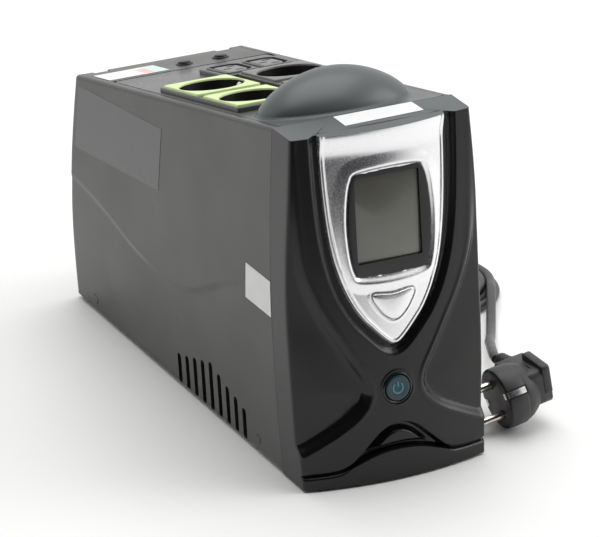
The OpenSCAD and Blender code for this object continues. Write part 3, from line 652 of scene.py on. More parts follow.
def cover_skin(depth):
    """Grid of the left cover: rows climb from its foot to its top rim, columns run to the rear."""
    r = EDGE_R
    low = FOOT_H + depth
    turn = np.linspace(0, 1, 6) * math.pi / 2
    arc = [(r * (1 - math.sin(a)), r * (1 - math.cos(a))) for a in turn]
    lift = np.concatenate([np.linspace(0, 0.5, 92), np.linspace(0.5, 1, 82)[1:]])
    rows = [(HALF_FOOT - SIDE_X, 0.0, "low")] + [(i, h, "low") for i, h in arc]
    rows += [(0.0, t, "wall") for t in lift[1:-1]]
    rows += [(i, h, "high") for i, h in arc[::-1]] + [(HALF_TOP - SIDE_X, 0.0, "high")]
    line = np.linspace(0, 1, 116)
    grid = []
    for step_in, h, zone in rows:
        y = SEAM_FOOT + (BODY_D - r - SEAM_FOOT) * line
        for _ in range(2):
            top = top_z(y) - depth
            if zone == "low":
                z = np.full_like(y, low + h)
            elif zone == "high":
                z = top - h
            else:
                z = low + r + (top - r - low - r) * h
            front = seam_y(z) + GAP / 2
            y = front + (BODY_D - r - front) * line
        w = half_width(z, top_z(y)) - depth - step_in
        if depth == 0 and zone == "wall":
            w = w - side_inset(y, z)
        w = np.maximum(w, SIDE_X + 0.02)
        x = -w
        reach = max(r - step_in, 0.0)
        bx, by, bz = [], [], []
        yr = BODY_D - depth - step_in
        for a in turn[1:]:
            bx.append(x[-1] + reach * (1 - math.cos(a)))
            by.append(yr - reach + reach * math.sin(a))
            bz.append(z[-1])
        bx.append(-SIDE_X)
        by.append(yr)
        bz.append(z[-1])
        y = np.minimum(y, yr - reach)
        grid.append(np.column_stack([np.append(x, bx), np.append(y, by), np.append(z, bz)]))
    return np.array(grid)


def vent_cutter(mirror):
    """The slots and screw holes of one side, as one tool."""
    parts = []
    a = np.linspace(0, math.pi, 9)
    r = VENT_W / 2
    for i, top in enumerate(VENT_TOPS):
        y = VENT_Y0 + VENT_PITCH * i
        outline = [(y + r * math.cos(t), top - r + r * math.sin(t)) for t in a]
        outline += [(y + r * math.cos(t), VENT_LOW + r + r * math.sin(t)) for t in a + math.pi]
        parts.append(loft([np.array([(mirror * x, p, q) for p, q in outline]) for x in (-70, -50)]))
    for y in SCREW_Y:
        hole = lathe([(3.1, -66.2), (3.1, -58.2)], 32)
        moved = [np.column_stack([mirror * l[:, 2], y + l[:, 0], SCREW_Z + l[:, 1]]) for l in hole]
        parts.append(loft(moved))
    return cutter(*joined(parts))


def side_covers(material):
    outer, inner = cover_skin(0.0), cover_skin(WALL)
    for name, side in (("left_shell", 1), ("right_shell", -1)):
        points, faces = shell(outer * (side, 1, 1), inner * (side, 1, 1))
        node = "left_cover" if side == 1 else "right_cover"
        obj = piece(name, points, faces, material, "case_black", replaces=(node,))
        cut(obj, [vent_cutter(side)])


def rear_skin(depth):
    """Grid of the rear panel: rows run up the rear wall and forward over the strip on the slope."""
    r = EDGE_R - depth if depth < EDGE_R else 0.3
    low = FOOT_H + WALL + 0.2
    cols = np.linspace(-(SIDE_X - GAP), SIDE_X - GAP, 60)
    turn = np.linspace(0, 1, 7)
    corner = REAR_H
    path = [(BODY_D - depth, z) for z in np.linspace(low, corner - EDGE_R, 40)]
    bend = math.pi / 2 - SLOPE_A
    cy, cz = BODY_D - depth - r, corner - EDGE_R
    path += [(cy + r * math.cos(a), cz + r * math.sin(a)) for a in turn[1:] * bend]
    y1, z1 = path[-1]
    end_y = CREASE_Y + STRIP_S * math.cos(SLOPE_A)
    for t in np.linspace(0, 1, 24)[1:]:
        y = y1 + (end_y - y1) * t
        path.append((y, z1 + (y1 - y) * SLOPE))
    return np.array([[(x, y, z) for x in cols] for y, z in path])


def on_gland(loops):
    """Moves loops about the local z axis to the gland's axis, out of the rear wall."""
    return [np.column_stack([GLAND_X + l[:, 0], BODY_D + l[:, 2], GLAND_Z + l[:, 1]]) for l in loops]


def rear_panel(material):
    """Rear wall with its slotted grille, the gland's hole, two notches and the breakers' holes."""
    points, faces = shell(rear_skin(0.0), rear_skin(WALL))
    obj = piece("rear_shell", points, faces, material, "case_black", replaces=("rear_panel",))
    holes = []
    slot = round_outline(2.0, 20.0, 1.95, 5)
    for x in np.arange(-36, 13, 8.0):
        holes.append(loft([level(slot, y, (x + 2, 42))[:, [0, 2, 1]] for y in (310, 326)]))
    holes.append(loft(on_gland(lathe([(7.1, -10), (7.1, 6)], 40))))
    for x in (-47.0, 37.0):
        holes.append(box_points(x, x + 11, 314.0, 330, REAR_H - 2.6, 160))
    for x in BREAKER_X:
        holes.append(loft(slope_lathe([(5.45, -8), (5.45, 8)], 40, (x, BREAKER_S, 0))))
    cut(obj, [cutter(*joined(holes))])


# ---- top ----
DOME = {"x": -3.0, "s": 31.5, "a": 48.0, "b": 28.5, "h": 23.6}


def hood(material):
    """Domed hood: rings from the cap's summit to its foot, a small fillet, then the flat skirt."""
    n = 144
    a = np.linspace(0, 2 * math.pi, n, endpoint=False)
    loops = []
    centre = np.array((DOME["x"], DOME["s"]))
    rays = np.column_stack([np.cos(a) * DOME["a"], np.sin(a) * DOME["b"]])
    for rho in np.sin(np.linspace(0.0, math.pi / 2, 40)[1:]) * 0.992:
        h = DOME["h"] * (1 - rho**2) ** 0.62 * (1 - 0.12 * rho**2)
        loops.append(level(centre + rays * rho, h))
    foot = centre + rays
    for grow, h in ((0.15, 1.2), (0.5, 0.55), (1.1, 0.15), (2.0, 0.0)):
        o = inset(foot, -grow)
        loops.append(level(np.clip(o, (-SIDE_X, 0.4), (SIDE_X, 62.0)), h))
    lo, hi = np.array((-SIDE_X + GAP, 0.3)), np.array((SIDE_X - GAP, 57.6))
    ahead, behind = (hi - centre) / np.maximum(rays, 1e-6), (lo - centre) / np.minimum(rays, -1e-6)
    reach = np.min(np.where(rays > 0, ahead, behind), axis=1)
    border = centre + rays * reach[:, None]
    last = loops[-1][:, :2]
    reach_last = np.hypot(*(last - centre).T)
    reach_border = np.hypot(*(border - centre).T)
    outside = np.where((reach_border > reach_last)[:, None], border, last)
    loops.append(level(outside, 0.0))
    loops.append(level(outside, -2.2))
    points, faces = loft([on_slope(l) for l in loops])
    piece("domed_hood", points, faces, material, "hood_grey", replaces=("top_hood",))


def plate(name, x0, x1, s0, s1, low, high, material, slot, bevel, corner, holes, **more):
    """Plate on the slope with a rounded upper edge and holes cut by loops."""
    outline = round_outline((x1 - x0) / 2, (s1 - s0) / 2, corner)
    loops = slab(outline, low, high, bevel, ((x0 + x1) / 2, (s0 + s1) / 2))
    points, faces = loft([on_slope(l) for l in loops])
    obj = piece(name, points, faces, material, slot, **more)
    cut(obj, [cutter(*joined([loft([on_slope(l) for l in hole]) for hole in holes]))])


def outlet_top(material):
    """Sloping outlet panel with three raised blocks for the sockets."""
    well = lathe([(WELL_HOLE_R, -10), (WELL_HOLE_R, 10)], 72)
    wells = [[l + (x, s, 0) for l in well] for x, s in SOCKETS.values()]
    bay = round_outline(10.6, 15.6, 1.0)
    bays = [[level(bay, h, (x, APPLIANCE_S)) for h in (-10, 10)] for x in APPLIANCE_X]
    plate("outlet_plate", -SIDE_X + 1.4, SIDE_X - 1.4, 58.3, 236.4, -2.4, -0.1, material, "case_black",
          0.5, 2.0, wells + bays, replaces=("outlet_panel",))
    plate("block_left", -50, -6.5, 62, 173.5, -1.2, BLOCK_H, material, "case_black", 0.8, 2.0, wells[:2])
    plate("block_right", 1.5, 46, 62, 172, -1.2, BLOCK_H, material, "case_black", 0.8, 2.0, wells[2:])
    plate("block_appliance", -7, 48, 171, 210, -1.2, BLOCK_H, material, "case_black", 0.8, 2.0, bays)


def socket(name, x, s, face, black, slot):
    """Square bezel with a lipped round well; its floor has two pin holes."""
    n = 96
    a = np.linspace(0, 2 * math.pi, n, endpoint=False)
    unit_square = 1.0 / np.maximum(np.abs(np.cos(a)) / BEZEL_W, np.abs(np.sin(a)) / BEZEL_D)
    square = np.column_stack([unit_square * np.cos(a), unit_square * np.sin(a)])

    def ring(r, h):
        return np.column_stack([r * np.cos(a), r * np.sin(a), np.full(n, h)])

    outside = ((1.0, BLOCK_H - 0.6), (1.0, BEZEL_H - 0.5), (0.993, BEZEL_H - 0.16), (0.98, BEZEL_H))
    mouth = ((0.75, BEZEL_H), (0.3, BEZEL_H - 0.1), (0.05, BEZEL_H - 0.45), (0.0, BEZEL_H - 1.2),
             (0.9, BEZEL_H - 1.4), (0.9, BLOCK_H - 0.6))
    loops = [level(square * k, h) for k, h in outside] + [ring(WELL_R + grow, h) for grow, h in mouth]
    points, faces = ring_skin([on_slope(l + (x, s, 0)) for l in loops])
    piece(name + "_bezel", points, faces, face, slot, replaces=(name,))
    floor = BEZEL_H - WELL_DEPTH
    cup = ((0.2, floor), (WELL_R - 1.5, floor), (WELL_R - 0.5, floor + 0.3), (WELL_R - 0.15, floor + 1.2),
           (WELL_R, BEZEL_H - 1.3), (WELL_R + 0.85, BEZEL_H - 1.3),
           (WELL_R + 0.85, floor - 1.5), (0.2, floor - 1.5))
    points, faces = loft([on_slope(ring(r, h) + (x, s, 0)) for r, h in cup])
    well = piece(name + "_well", points, faces, black, "outlet_black")
    pin_hole = [(2.9, -3), (2.9, 2)]
    holes = [loft(slope_lathe(pin_hole, 32, (x, s + m * PIN_PITCH / 2, floor))) for m in (-1, 1)]
    cut(well, [cutter(*joined(holes))])


def earth_clips(metal):
    """Two sprung strips in each well; the part that joins them under its floor is not drawn."""
    floor = BEZEL_H - WELL_DEPTH
    section = [(17.9, 0.1), (18.6, 4.0), (17.3, 9.0), (16.6, 12.0), (17.6, 14.6), (18.6, 15.6)]
    line = curve(section, 22)
    parts = []
    for x, s in SOCKETS.values():
        for m in (-1, 1):
            loops = []
            for k, (r, h) in enumerate(line):
                w = 2.3 - 0.5 * smoothstep((k - 14) / 7)
                edge = ((0, -w), (0.7, -w), (0.7, w), (0, w))
                loops.append(np.array([(x + m * (r + dr), s + ds, floor + h) for dr, ds in edge]))
            parts.append(loft([on_slope(l) for l in loops]))
    piece("earth_strips", *joined(parts), metal, "plated_steel", replaces=("earth_clips",))


# Face of an appliance outlet's insert and the moat round it: two of the corners are cut off
INSERT = [(-7.2, -11.4), (3.6, -11.4), (7.2, -7.8), (7.2, 7.8), (3.6, 11.4), (-7.2, 11.4)]
MOAT = [(-9.3, -14.2), (5.3, -14.2), (9.3, -10.2), (9.3, 10.2), (5.3, 14.2), (-9.3, 14.2)]


def rounded(outline, r, steps=4):
    """The outline with each corner turned into an arc-like bend."""
    out, n = [], len(outline)
    for i in range(n):
        p, a, b = outline[i], outline[i - 1], outline[(i + 1) % n]
        u, v = (a - p) / np.linalg.norm(a - p), (b - p) / np.linalg.norm(b - p)
        p0, p2 = p + u * r, p + v * r
        for k in range(steps + 1):
            t = k / steps
            out.append((1 - t) ** 2 * p0 + 2 * t * (1 - t) * p + t * t * p2)
    return np.array(out)


def appliance_outlets(black, grey):
    """Two three-pin outlets: a frame with a moat, and an insert with its slots."""
    slot = round_outline(2.7, 1.2, 0.4, 3)
    for side, x in zip(("left", "right"), APPLIANCE_X):
        shift = (x, APPLIANCE_S)
        body = slab(round_outline(10.5, 15.5, 2.0, 5), -18.0, BLOCK_H + 0.9, 0.6, shift)
        points, faces = loft([on_slope(l) for l in body])
        node = f"iec_outlet_{side}"
        obj = piece(f"appliance_frame_{side}", points, faces, black, "outlet_black", replaces=(node,))
        moat = rounded(np.array(MOAT), 1.6)
        cut(obj, [cutter(*loft([on_slope(level(moat, h, shift)) for h in (-16.5, 10)]))])
        core = slab(rounded(np.array(INSERT), 1.3), -17.0, BLOCK_H + 0.5, 0.5, shift)
        points, faces = loft([on_slope(l) for l in core])
        insert = piece(f"appliance_insert_{side}", points, faces, grey, "outlet_black")
        holes = []
        for dx, ds in ((2.2, -7.0), (2.2, 7.0), (-3.0, 0.0)):
            at = (x + dx, APPLIANCE_S + ds)
            holes.append(loft([on_slope(level(slot, h, at)) for h in (-15, 10)]))
        cut(insert, [cutter(*joined(holes))])


def breakers(black):
    """Bushing and reset cap of each thermal breaker."""
    bush = [(5.35, -9), (5.35, 0.3), (5.25, 0.55), (4.95, 0.7), (4.45, 0.7), (4.2, 0.5), (4.1, -9)]
    cap = [(3.85, -7.5), (3.85, 1.1), (3.7, 1.55), (3.3, 1.85), (2.6, 1.95), (1.4, 1.9), (0.2, 1.88)]
    for side, x in zip(("input", "output"), BREAKER_X):
        at = (x, BREAKER_S, 0.0)
        node = f"{side}_breaker"
        points, faces = ring_skin(slope_lathe(bush, 56, at))
        piece(f"{side}_bushing", points, faces, black, "outlet_black", replaces=(node,))
        points, faces = loft(slope_lathe(cap, 48, at))
        piece(f"{side}_reset_cap", points, faces, black, "outlet_black", f"{side}_reset",
              replaces=(node + "_button",))


def labels(paper, tints):
    """Blank stickers: one on the slope with two tinted blocks, one on the visor, one on the left side."""
    def sheet(name, corners, material, thick=0.14, out=(0, 0, 1)):
        c = np.array(corners, float)
        c2 = c + np.array(out) * thick
        faces = [(0, 1, 2, 3), (7, 6, 5, 4), (0, 4, 5, 1), (1, 5, 6, 2), (2, 6, 7, 3), (3, 7, 4, 0)]
        return piece(name, np.vstack([c, c2]), faces, material, "label_white", smooth=False)

    def sloped(x0, x1, s0, s1, h):
        return on_slope([(x0, s0, h), (x1, s0, h), (x1, s1, h), (x0, s1, h)])

    up = on_slope([(0, 0, 1)])[0] - on_slope([(0, 0, 0)])[0]
    slope_label = sheet("slope_sticker", sloped(-52.6, -12, 242, 267.5, 0.05), paper, out=up)
    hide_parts("labels")
    sheet("slope_tint_a", sloped(-27, -20.5, 244, 262, 0.2), tints[0], 0.03, up)
    sheet("slope_tint_b", sloped(-20, -12.8, 243, 266.5, 0.2), tints[1], 0.03, up)
    h = FRONT_H + 0.04
    sheet("visor_sticker", [(-19.3, 27.4, h), (32.2, 28.9, h), (31.8, 43.4, h), (-19.3, 43.0, h)], paper)
    rows = []
    for z in np.linspace(98.6, 120.4, 9):
        rows.append([(y, z) for y in np.linspace(max(23.5, float(seam_y(z)) + 0.4), 69.5, 14)])
    side_sheet("side_sticker", rows, 0.05, 0.14, paper, smooth=False)


def side_sheet(name, rows, gap, thick, material, smooth=True, crease=False):
    """Sheet on the left side over rows of (y, height); with crease it follows the wall's crease too."""
    outer, inner = [], []
    for row in rows:
        wall = []
        for y, z in row:
            x = -float(half_width(z, top_z(np.array(y))))
            if crease:
                x += float(side_inset(np.array(y), np.array(z)))
            wall.append((x - gap, y, z))
        inner.append(wall)
        outer.append([(x - thick, y, z) for x, y, z in wall])
    points, faces = shell(np.array(outer), np.array(inner))
    piece(name, points, faces, material, "label_white", smooth=smooth)


# Clear film at the rear of the left side: front and rear edge as (y, lower end, upper end)
FILM_FRONT, FILM_REAR = (190.5, 120.5, 160.0), (313.0, 105.0, 145.0)


def clear_film(film):
    """Thin clear film that follows the rear of the left side."""
    front, rear = np.array(FILM_FRONT), np.array(FILM_REAR)
    edges = [front + (rear - front) * k for k in np.linspace(0, 1, 24)]
    rows = [[(y, low * (1 - t) + high * t) for y, low, high in edges] for t in np.linspace(0, 1, 12)]
    side_sheet("clear_film", rows, 0.04, 0.1, film, crease=True)


# ---- mains lead, in metres ----
CORD_D = 0.006
REAR_ROUTE = [
    (0.036, 0.192, 0.024), (0.036, 0.202, 0.024), (0.0375, 0.213, 0.022), (0.0425, 0.2235, 0.0175),
    (0.051, 0.232, 0.012), (0.061, 0.2365, 0.0075), (0.072, 0.237, 0.0046), (0.083, 0.233, 0.0033),
    (0.092, 0.226, 0.003), (0.100, 0.216, 0.003), (0.108, 0.203, 0.003), (0.117, 0.187, 0.003),
    (0.126, 0.171, 0.003), (0.135, 0.155, 0.003), (0.144, 0.139, 0.003), (0.153, 0.123, 0.003),
    (0.162, 0.108, 0.003), (0.170, 0.094, 0.003),
]
FRONT_ROUTE = [
    (0.1696, 0.0396, 0.0092), (0.165, 0.0308, 0.0086), (0.1602, 0.0222, 0.0066),
    (0.1556, 0.0138, 0.0046), (0.151, 0.0054, 0.0034), (0.1464, -0.003, 0.0032),
    (0.1416, -0.0116, 0.004), (0.1366, -0.0204, 0.0059), (0.1314, -0.0292, 0.0084),
    (0.1262, -0.038, 0.0113), (0.1221, -0.0468, 0.0143), (0.1176, -0.0556, 0.0172),
    (0.1135, -0.0642, 0.0198), (0.1098, -0.0722, 0.0218), (0.1068, -0.0794, 0.023),
    (0.1053, -0.0853, 0.02335),
]
COIL_AT = (0.142, 0.065)
# radius and height of each turn, and how far round the lead changes from one to the next
COIL_TURNS = ((0.039, 0.003), (0.033, 0.003), (0.027, 0.003), (0.030, 0.0082), (0.036, 0.0082))
COIL_CHANGES = (240.0, 600.0, 860.0, 1320.0)
COIL_IN, COIL_TOTAL, COIL_SPAN, COIL_CROSS = 30.0, 1497.0, 140.0, 960.0


def coil_points():
    """Centreline of the coil, wound clockwise; it lifts where it passes over a lower turn."""
    points = []
    for turned in np.linspace(0.0, COIL_TOTAL, 101):
        r, z = COIL_TURNS[0]
        for k, at in enumerate(COIL_CHANGES):
            ease = float(smoothstep((turned - at) / COIL_SPAN + 0.5))
            climb = COIL_TURNS[k + 1][1] - COIL_TURNS[k][1]
            r += (COIL_TURNS[k + 1][0] - COIL_TURNS[k][0]) * (ease**2 if climb else ease)
            z += climb * ease
        z += 0.0008 * (math.exp(-(((turned - COIL_CROSS) / 45.0) ** 2)) + math.sin(math.pi * ease))
        t = math.radians(COIL_IN - turned)
        points.append((COIL_AT[0] + r * math.cos(t), COIL_AT[1] + r * math.sin(t), z))
    return points


def tube(points, radius, sides=16):
    """Round skin along a path, without twist."""
    p = np.array(points, float)
    t = np.gradient(p, axis=0)
    t /= np.linalg.norm(t, axis=1)[:, None]
    side = np.cross(t[0], (0, 0, 1.0))
    side /= np.linalg.norm(side)
    loops = []
    a = np.linspace(0, 2 * math.pi, sides, endpoint=False)
    for c, d in zip(p, t):
        side = side - d * np.dot(side, d)
        side /= np.linalg.norm(side)
        up = np.cross(side, d)
        loops.append(c + radius * (np.cos(a)[:, None] * side + np.sin(a)[:, None] * up))
    return loft(loops)


def mains_lead(rubber, dark, steel):
    """The whole lead from the gland to the plug, its tie, its gland and the plug on its end."""
    route = REAR_ROUTE + coil_points() + FRONT_ROUTE
    path = curve(route, 4 * len(route))
    points, faces = tube(path, CORD_D / 2)
    points = points / MM + (0.0, MID_Y, 0.0)
    lead = piece("mains_lead", points, faces, rubber, "cord_black",
                 replaces=("cord_rear", "cord_coil", "cord_front"))
    pieces = [gland(dark), tie(dark)] + plug(dark, steel)


def gland(dark):
    """Ribbed strain relief on the rear panel."""
    profile = [(7.0, -4.5), (7.0, -0.2), (9.0, -0.1), (9.3, 0.4), (9.3, 2.4), (8.9, 3.0), (7.2, 3.2)]
    for k in range(6):
        h = 4.2 + 3.9 * k
        r = 6.6 - 0.36 * k
        profile += [(r, h), (r, h + 2.1), (r - 0.9, h + 2.4), (r - 0.9, h + 3.6)]
    profile += [(4.1, 27.6), (3.2, 27.75)]
    return piece("lead_gland", *loft(on_gland(lathe(profile, 40))), dark, "rubber", replaces=("cord_gland",))


def tie(dark):
    """Flat strap that goes once round the coil."""
    section = [(23.2, 0.5), (22.6, 3), (22.8, 8), (24.6, 11.8), (28, 12.7)]
    section += [(36, 12.7), (40, 11.6), (42.9, 8), (43.3, 3), (42.8, 0.5)]
    line = curve(section, 50)
    band = ((0.0, -5.5), (1.0, -5.5), (1.25, -4.6), (1.25, 4.6), (1.0, 5.5), (0.0, 5.5))
    spin = math.radians(200.0)
    radial = np.array((math.cos(spin), math.sin(spin), 0))
    across = np.array((-math.sin(spin), math.cos(spin), 0))
    centre = np.array((COIL_AT[0] / MM, COIL_AT[1] / MM + MID_Y, 0))
    t = np.gradient(line, axis=0)
    normal = np.column_stack([-t[:, 1], t[:, 0]]) / np.linalg.norm(t, axis=1)[:, None]
    loops = []
    for (r, z), (nr, nz) in zip(line, normal):
        edge = [centre + radial * (r + nr * k) + across * w + (0, 0, z + nz * k) for k, w in band]
        loops.append(np.array(edge))
    return piece("coil_strap", *loft(loops), dark, "cord_black", replaces=("cord_tie",))


PLUG_AT = np.array((82.3, -127.7 + MID_Y, 18.9))
PLUG_TURN = (180.0, 10.0, 181.0)
PIN_TURN = math.radians(30.0)
LEAD_BACK = -26.0


def at_plug(points):
    """Plug's own frame to body millimetres: local z runs out along the pins, local y towards the lead."""
    roll, tilt, yaw = (math.radians(a) for a in PLUG_TURN)
    lean = Matrix.Rotation(math.pi / 2 + tilt, 3, "Y")
    turn = Matrix.Rotation(yaw, 3, "Z") @ lean @ Matrix.Rotation(roll, 3, "Z")
    return np.array(points, float).reshape(-1, 3) @ np.array(turn).T + PLUG_AT


def turned(points):
    """Turns plug points from the pin line's frame to the lead's."""
    p = np.array(points, float).reshape(-1, 3)
    c, t = math.cos(PIN_TURN), math.sin(PIN_TURN)
    return np.column_stack([p[:, 0] * c - p[:, 1] * t, p[:, 0] * t + p[:, 1] * c, p[:, 2]])


def plug_block(name, x, y, low, high, r, dark, tip=None):
    """Rounded block behind the plug's round head; tip narrows its far end along y."""
    cx, cy, w, d = (x[0] + x[1]) / 2, (y[0] + y[1]) / 2, (x[1] - x[0]) / 2, (y[1] - y[0]) / 2
    bevel = 0.9
    edges = ((low, bevel), (low + bevel / 4, bevel / 2), (low + bevel, 0.0),
             (high - bevel, 0.0), (high - 0.2, 0.4), (high, bevel))
    loops = []
    for h, k in edges:
        o = inset(round_outline(w, d, r, 6), k)
        if tip is not None:
            o[:, 0] *= 1 - (1 - tip) * smoothstep((o[:, 1] + d) / (2 * d))
        loops.append(at_plug(level(o, h, (cx, cy))))
    return piece(name, *loft(loops), dark, "cord_black")


def plug(dark, steel):
    """Angled plug: round head, domed back with a thumb plate, ribbed neck, two pins and side contacts."""
    head = [(0.3, 0.0), (15.8, 0.0), (18.0, -0.1), (18.7, -0.6), (19.0, -1.6), (19.0, -11.6), (18.6, -12.4)]
    head += [(18.1, -12.8), (17.9, -14.6), (16.9, -17.4), (14.9, -20.6), (12.4, -23.6), (9.8, -26.4)]
    head += [(7.2, -28.8), (4.0, -30.6), (0.3, -31.0)]
    points, faces = loft([at_plug(l) for l in lathe(head, 96)])
    body = piece("plug_shell", points, faces, dark, "cord_black", replaces=("plug_body",))
    holes = []
    for m in (-1, 1):
        socket_hole = [turned(l + (m * PIN_PITCH / 2, 0, 0)) for l in lathe([(2.9, -1.6), (2.9, 2)], 40)]
        holes.append(loft([at_plug(l) for l in socket_hole]))
        for w, near, along in ((2.6, 16.4, "y"), (2.6, 16.8, "x")):
            lo, hi = (near, 24.0) if m > 0 else (-24.0, -near)
            box = (-w, w, lo, hi) if along == "y" else (lo, hi, -w, w)
            points, faces = box_points(*box, -13.5, 2)
            holes.append((at_plug(turned(points)), faces))
    cut(body, [cutter(*joined(holes))])
    plate_piece = plug_block("plug_thumb_plate", (-3.0, 16.4), (-12.4, 12.6), -32.0, -26.6, 2.4, dark)
    arm = plug_block("plug_arm", (-9.2, 14.2), (-11.8, 23.0), -31.9, -12.5, 4.2, dark, 0.76)
    grooves = [box_points(12.6, 16, -4.0, 7.0, z, z + 1.1) for z in (-20.6, -23.8)]
    cut(arm, [cutter(*joined([(at_plug(p), f) for p, f in grooves]))])
    profile = [(7.0, 21.6), (7.3, 22.4), (7.3, 27.8), (6.7, 28.6), (5.6, 28.8)]
    for k in range(4):
        y, r = 29.4 + 2.9 * k, 5.7 - 0.34 * k
        profile += [(r, y), (r, y + 1.6), (r - 0.6, y + 1.8), (r - 0.6, y + 2.7)]
    profile += [(4.1, 40.9), (3.6, 41.9), (2.8, 42.0)]
    loops = [at_plug(np.column_stack([l[:, 0], l[:, 2], LEAD_BACK + l[:, 1]])) for l in lathe(profile, 40)]
    relief_piece = piece("plug_strain_relief", *loft(loops), dark, "cord_black", replaces=("plug_relief",))
    pin = [(2.2, -1.7), (2.2, 0.0), (2.4, 0.1), (2.4, 17.2)]
    pin += [(2.25, 18.0), (1.7, 18.8), (1.0, 19.0), (0.2, 19.0)]
    parts = []
    for m in (-1, 1):
        parts.append(loft([at_plug(turned(l + (m * PIN_PITCH / 2, 0, 0))) for l in lathe(pin, 32)]))
    pins = piece("plug_contact_pins", *joined(parts), steel[0], "brass", replaces=("plug_pins",))
    strip = [(13.2, 0.35), (15.4, 0.3), (17.0, -0.3), (17.9, -1.4), (18.4, -4.0), (18.4, -8.0), (17.6, -12.6)]
    edge = ((0, -1.9), (0.55, -1.9), (0.55, 1.9), (0, 1.9))
    parts = []
    for m in (-1, 1):
        loops = [np.array([(w, m * (r + k), h) for k, w in edge]) for r, h in curve(strip, 22)]
        parts.append(loft([at_plug(turned(l)) for l in loops]))
    points, faces = joined(parts)
    clips = piece("plug_side_contacts", points, faces, steel[1], "plated_steel",
                  replaces=("plug_earth_clips",))
    return [body, plate_piece, arm, relief_piece, pins, clips]


# ---- materials ----
def color_ramp(tree, source, stops, target):
    """Links source to target through a ramp of (position, colour) stops."""
    ramp = tree.nodes.new("ShaderNodeValToRGB")
    while len(ramp.color_ramp.elements) < len(stops):
        ramp.color_ramp.elements.new(0.5)
    for e, (at, color) in zip(ramp.color_ramp.elements, stops):
        e.position, e.color = at, (*color, 1.0)
    tree.links.new(source, ramp.inputs["Fac"])
    tree.links.new(ramp.outputs["Color"], target)


class Shader:
    """Builds one node material; plain values go straight to the shader's own sockets."""

    def __init__(self, name, color, roughness, metallic=0.0, **more):
        self.mat = bpy.data.materials.new(name)
        self.mat.use_nodes = True
        self.nodes, self.links = self.mat.node_tree.nodes, self.mat.node_tree.links
        self.bsdf = self.nodes["Principled BSDF"]
        self.set("Base Color", (*color, 1.0))
        self.set("Roughness", roughness)
        self.set("Metallic", metallic)
        for key, value in more.items():
            self.set(key.replace("_", " "), value)
        self.coords = self.nodes.new("ShaderNodeTexCoord").outputs["Object"]
        self.height = None

    def set(self, socket, value):
        self.bsdf.inputs[socket].default_value = value

    def noise(self, scale, detail, stretch):
        mapping = self.nodes.new("ShaderNodeMapping")
        mapping.inputs["Scale"].default_value = stretch
        self.links.new(self.coords, mapping.inputs["Vector"])
        node = self.nodes.new("ShaderNodeTexNoise")
        node.inputs["Scale"].default_value = scale
        node.inputs["Detail"].default_value = detail
        self.links.new(mapping.outputs["Vector"], node.inputs["Vector"])
        return node.outputs["Fac"]

    def vary(self, color, amount, scale, detail=3.0, stretch=(1, 1, 1)):
        """Colour that drifts a little over the surface."""
        dark = tuple(c * (1 - amount) for c in color)
        light = tuple(min(c * (1 + amount), 1.0) for c in color)
        source = self.noise(scale, detail, stretch)
        color_ramp(self.mat.node_tree, source, [(0.3, dark), (0.7, light)], self.bsdf.inputs["Base Color"])
        return self

    def rough(self, low, high, scale, detail=3.0, stretch=(1, 1, 1)):
        node = self.nodes.new("ShaderNodeMapRange")
        node.inputs["From Min"].default_value, node.inputs["From Max"].default_value = 0.3, 0.7
        node.inputs["To Min"].default_value, node.inputs["To Max"].default_value = low, high
        self.links.new(self.noise(scale, detail, stretch), node.inputs["Value"])
        self.links.new(node.outputs["Result"], self.bsdf.inputs["Roughness"])
        return self

    def bump(self, scale, strength, distance, detail=2.0, stretch=(1, 1, 1)):
        node = self.nodes.new("ShaderNodeBump")
        node.inputs["Strength"].default_value = strength
        node.inputs["Distance"].default_value = distance
        if self.height is not None:
            self.links.new(self.height, node.inputs["Normal"])
        self.links.new(self.noise(scale, detail, stretch), node.inputs["Height"])
        self.height = node.outputs["Normal"]
        self.links.new(self.height, self.bsdf.inputs["Normal"])
        return self


def moulded(name, color, roughness, grain=0.12, drift=0.08):
    """Moulded plastic: fine spark-eroded grain, faint flow marks and patchy gloss."""
    s = Shader(name, color, roughness)
    s.vary(color, drift, 14.0)
    s.rough(roughness - 0.04, roughness + 0.05, 22.0)
    s.bump(2600.0, grain, 0.00006)
    s.bump(9.0, 0.05, 0.002)
    return s.mat


def metal(name, color, roughness, brushed=(1, 1, 1), scale=900.0):
    s = Shader(name, color, roughness, 1.0)
    s.vary(color, 0.07, 60.0)
    s.rough(roughness - 0.05, roughness + 0.07, 240.0, 3.0, brushed)
    s.bump(scale, 0.12, 0.00004, 2.0, brushed)
    return s.mat


def front_plastic():
    s = Shader("front_plastic", (0.0045, 0.0044, 0.0044), 0.25, Specular_IOR_Level=0.42)
    s.vary((0.0045, 0.0044, 0.0044), 0.1, 900.0, 1.0)
    s.rough(0.24, 0.27, 1400.0, 1.0)
    return s.mat


def silver_paint():
    """Metallic lacquer over plastic: fine flakes under a clear coat."""
    s = Shader("silver_paint", (0.86, 0.86, 0.865), 0.24, 0.92, Coat_Weight=0.3, Coat_Roughness=0.08)
    s.vary((0.86, 0.86, 0.865), 0.04, 2400.0, 1.0)
    s.rough(0.20, 0.28, 1800.0, 1.0)
    s.bump(3200.0, 0.04, 0.00003, 1.0)
    return s.mat


def paper():
    s = Shader("label_paper", (0.72, 0.73, 0.72), 0.55)
    s.vary((0.72, 0.73, 0.72), 0.03, 120.0)
    s.bump(1500.0, 0.1, 0.00003)
    return s.mat


def panel_glass():
    """Switched-off liquid crystal panel under a clear window."""
    s = Shader("panel_glass", (0.13, 0.13, 0.11), 0.22, Coat_Weight=0.6, Coat_Roughness=0.05)
    s.vary((0.13, 0.128, 0.108), 0.16, 16.0, 2.0)
    s.bump(2200.0, 0.04, 0.00002)
    return s.mat


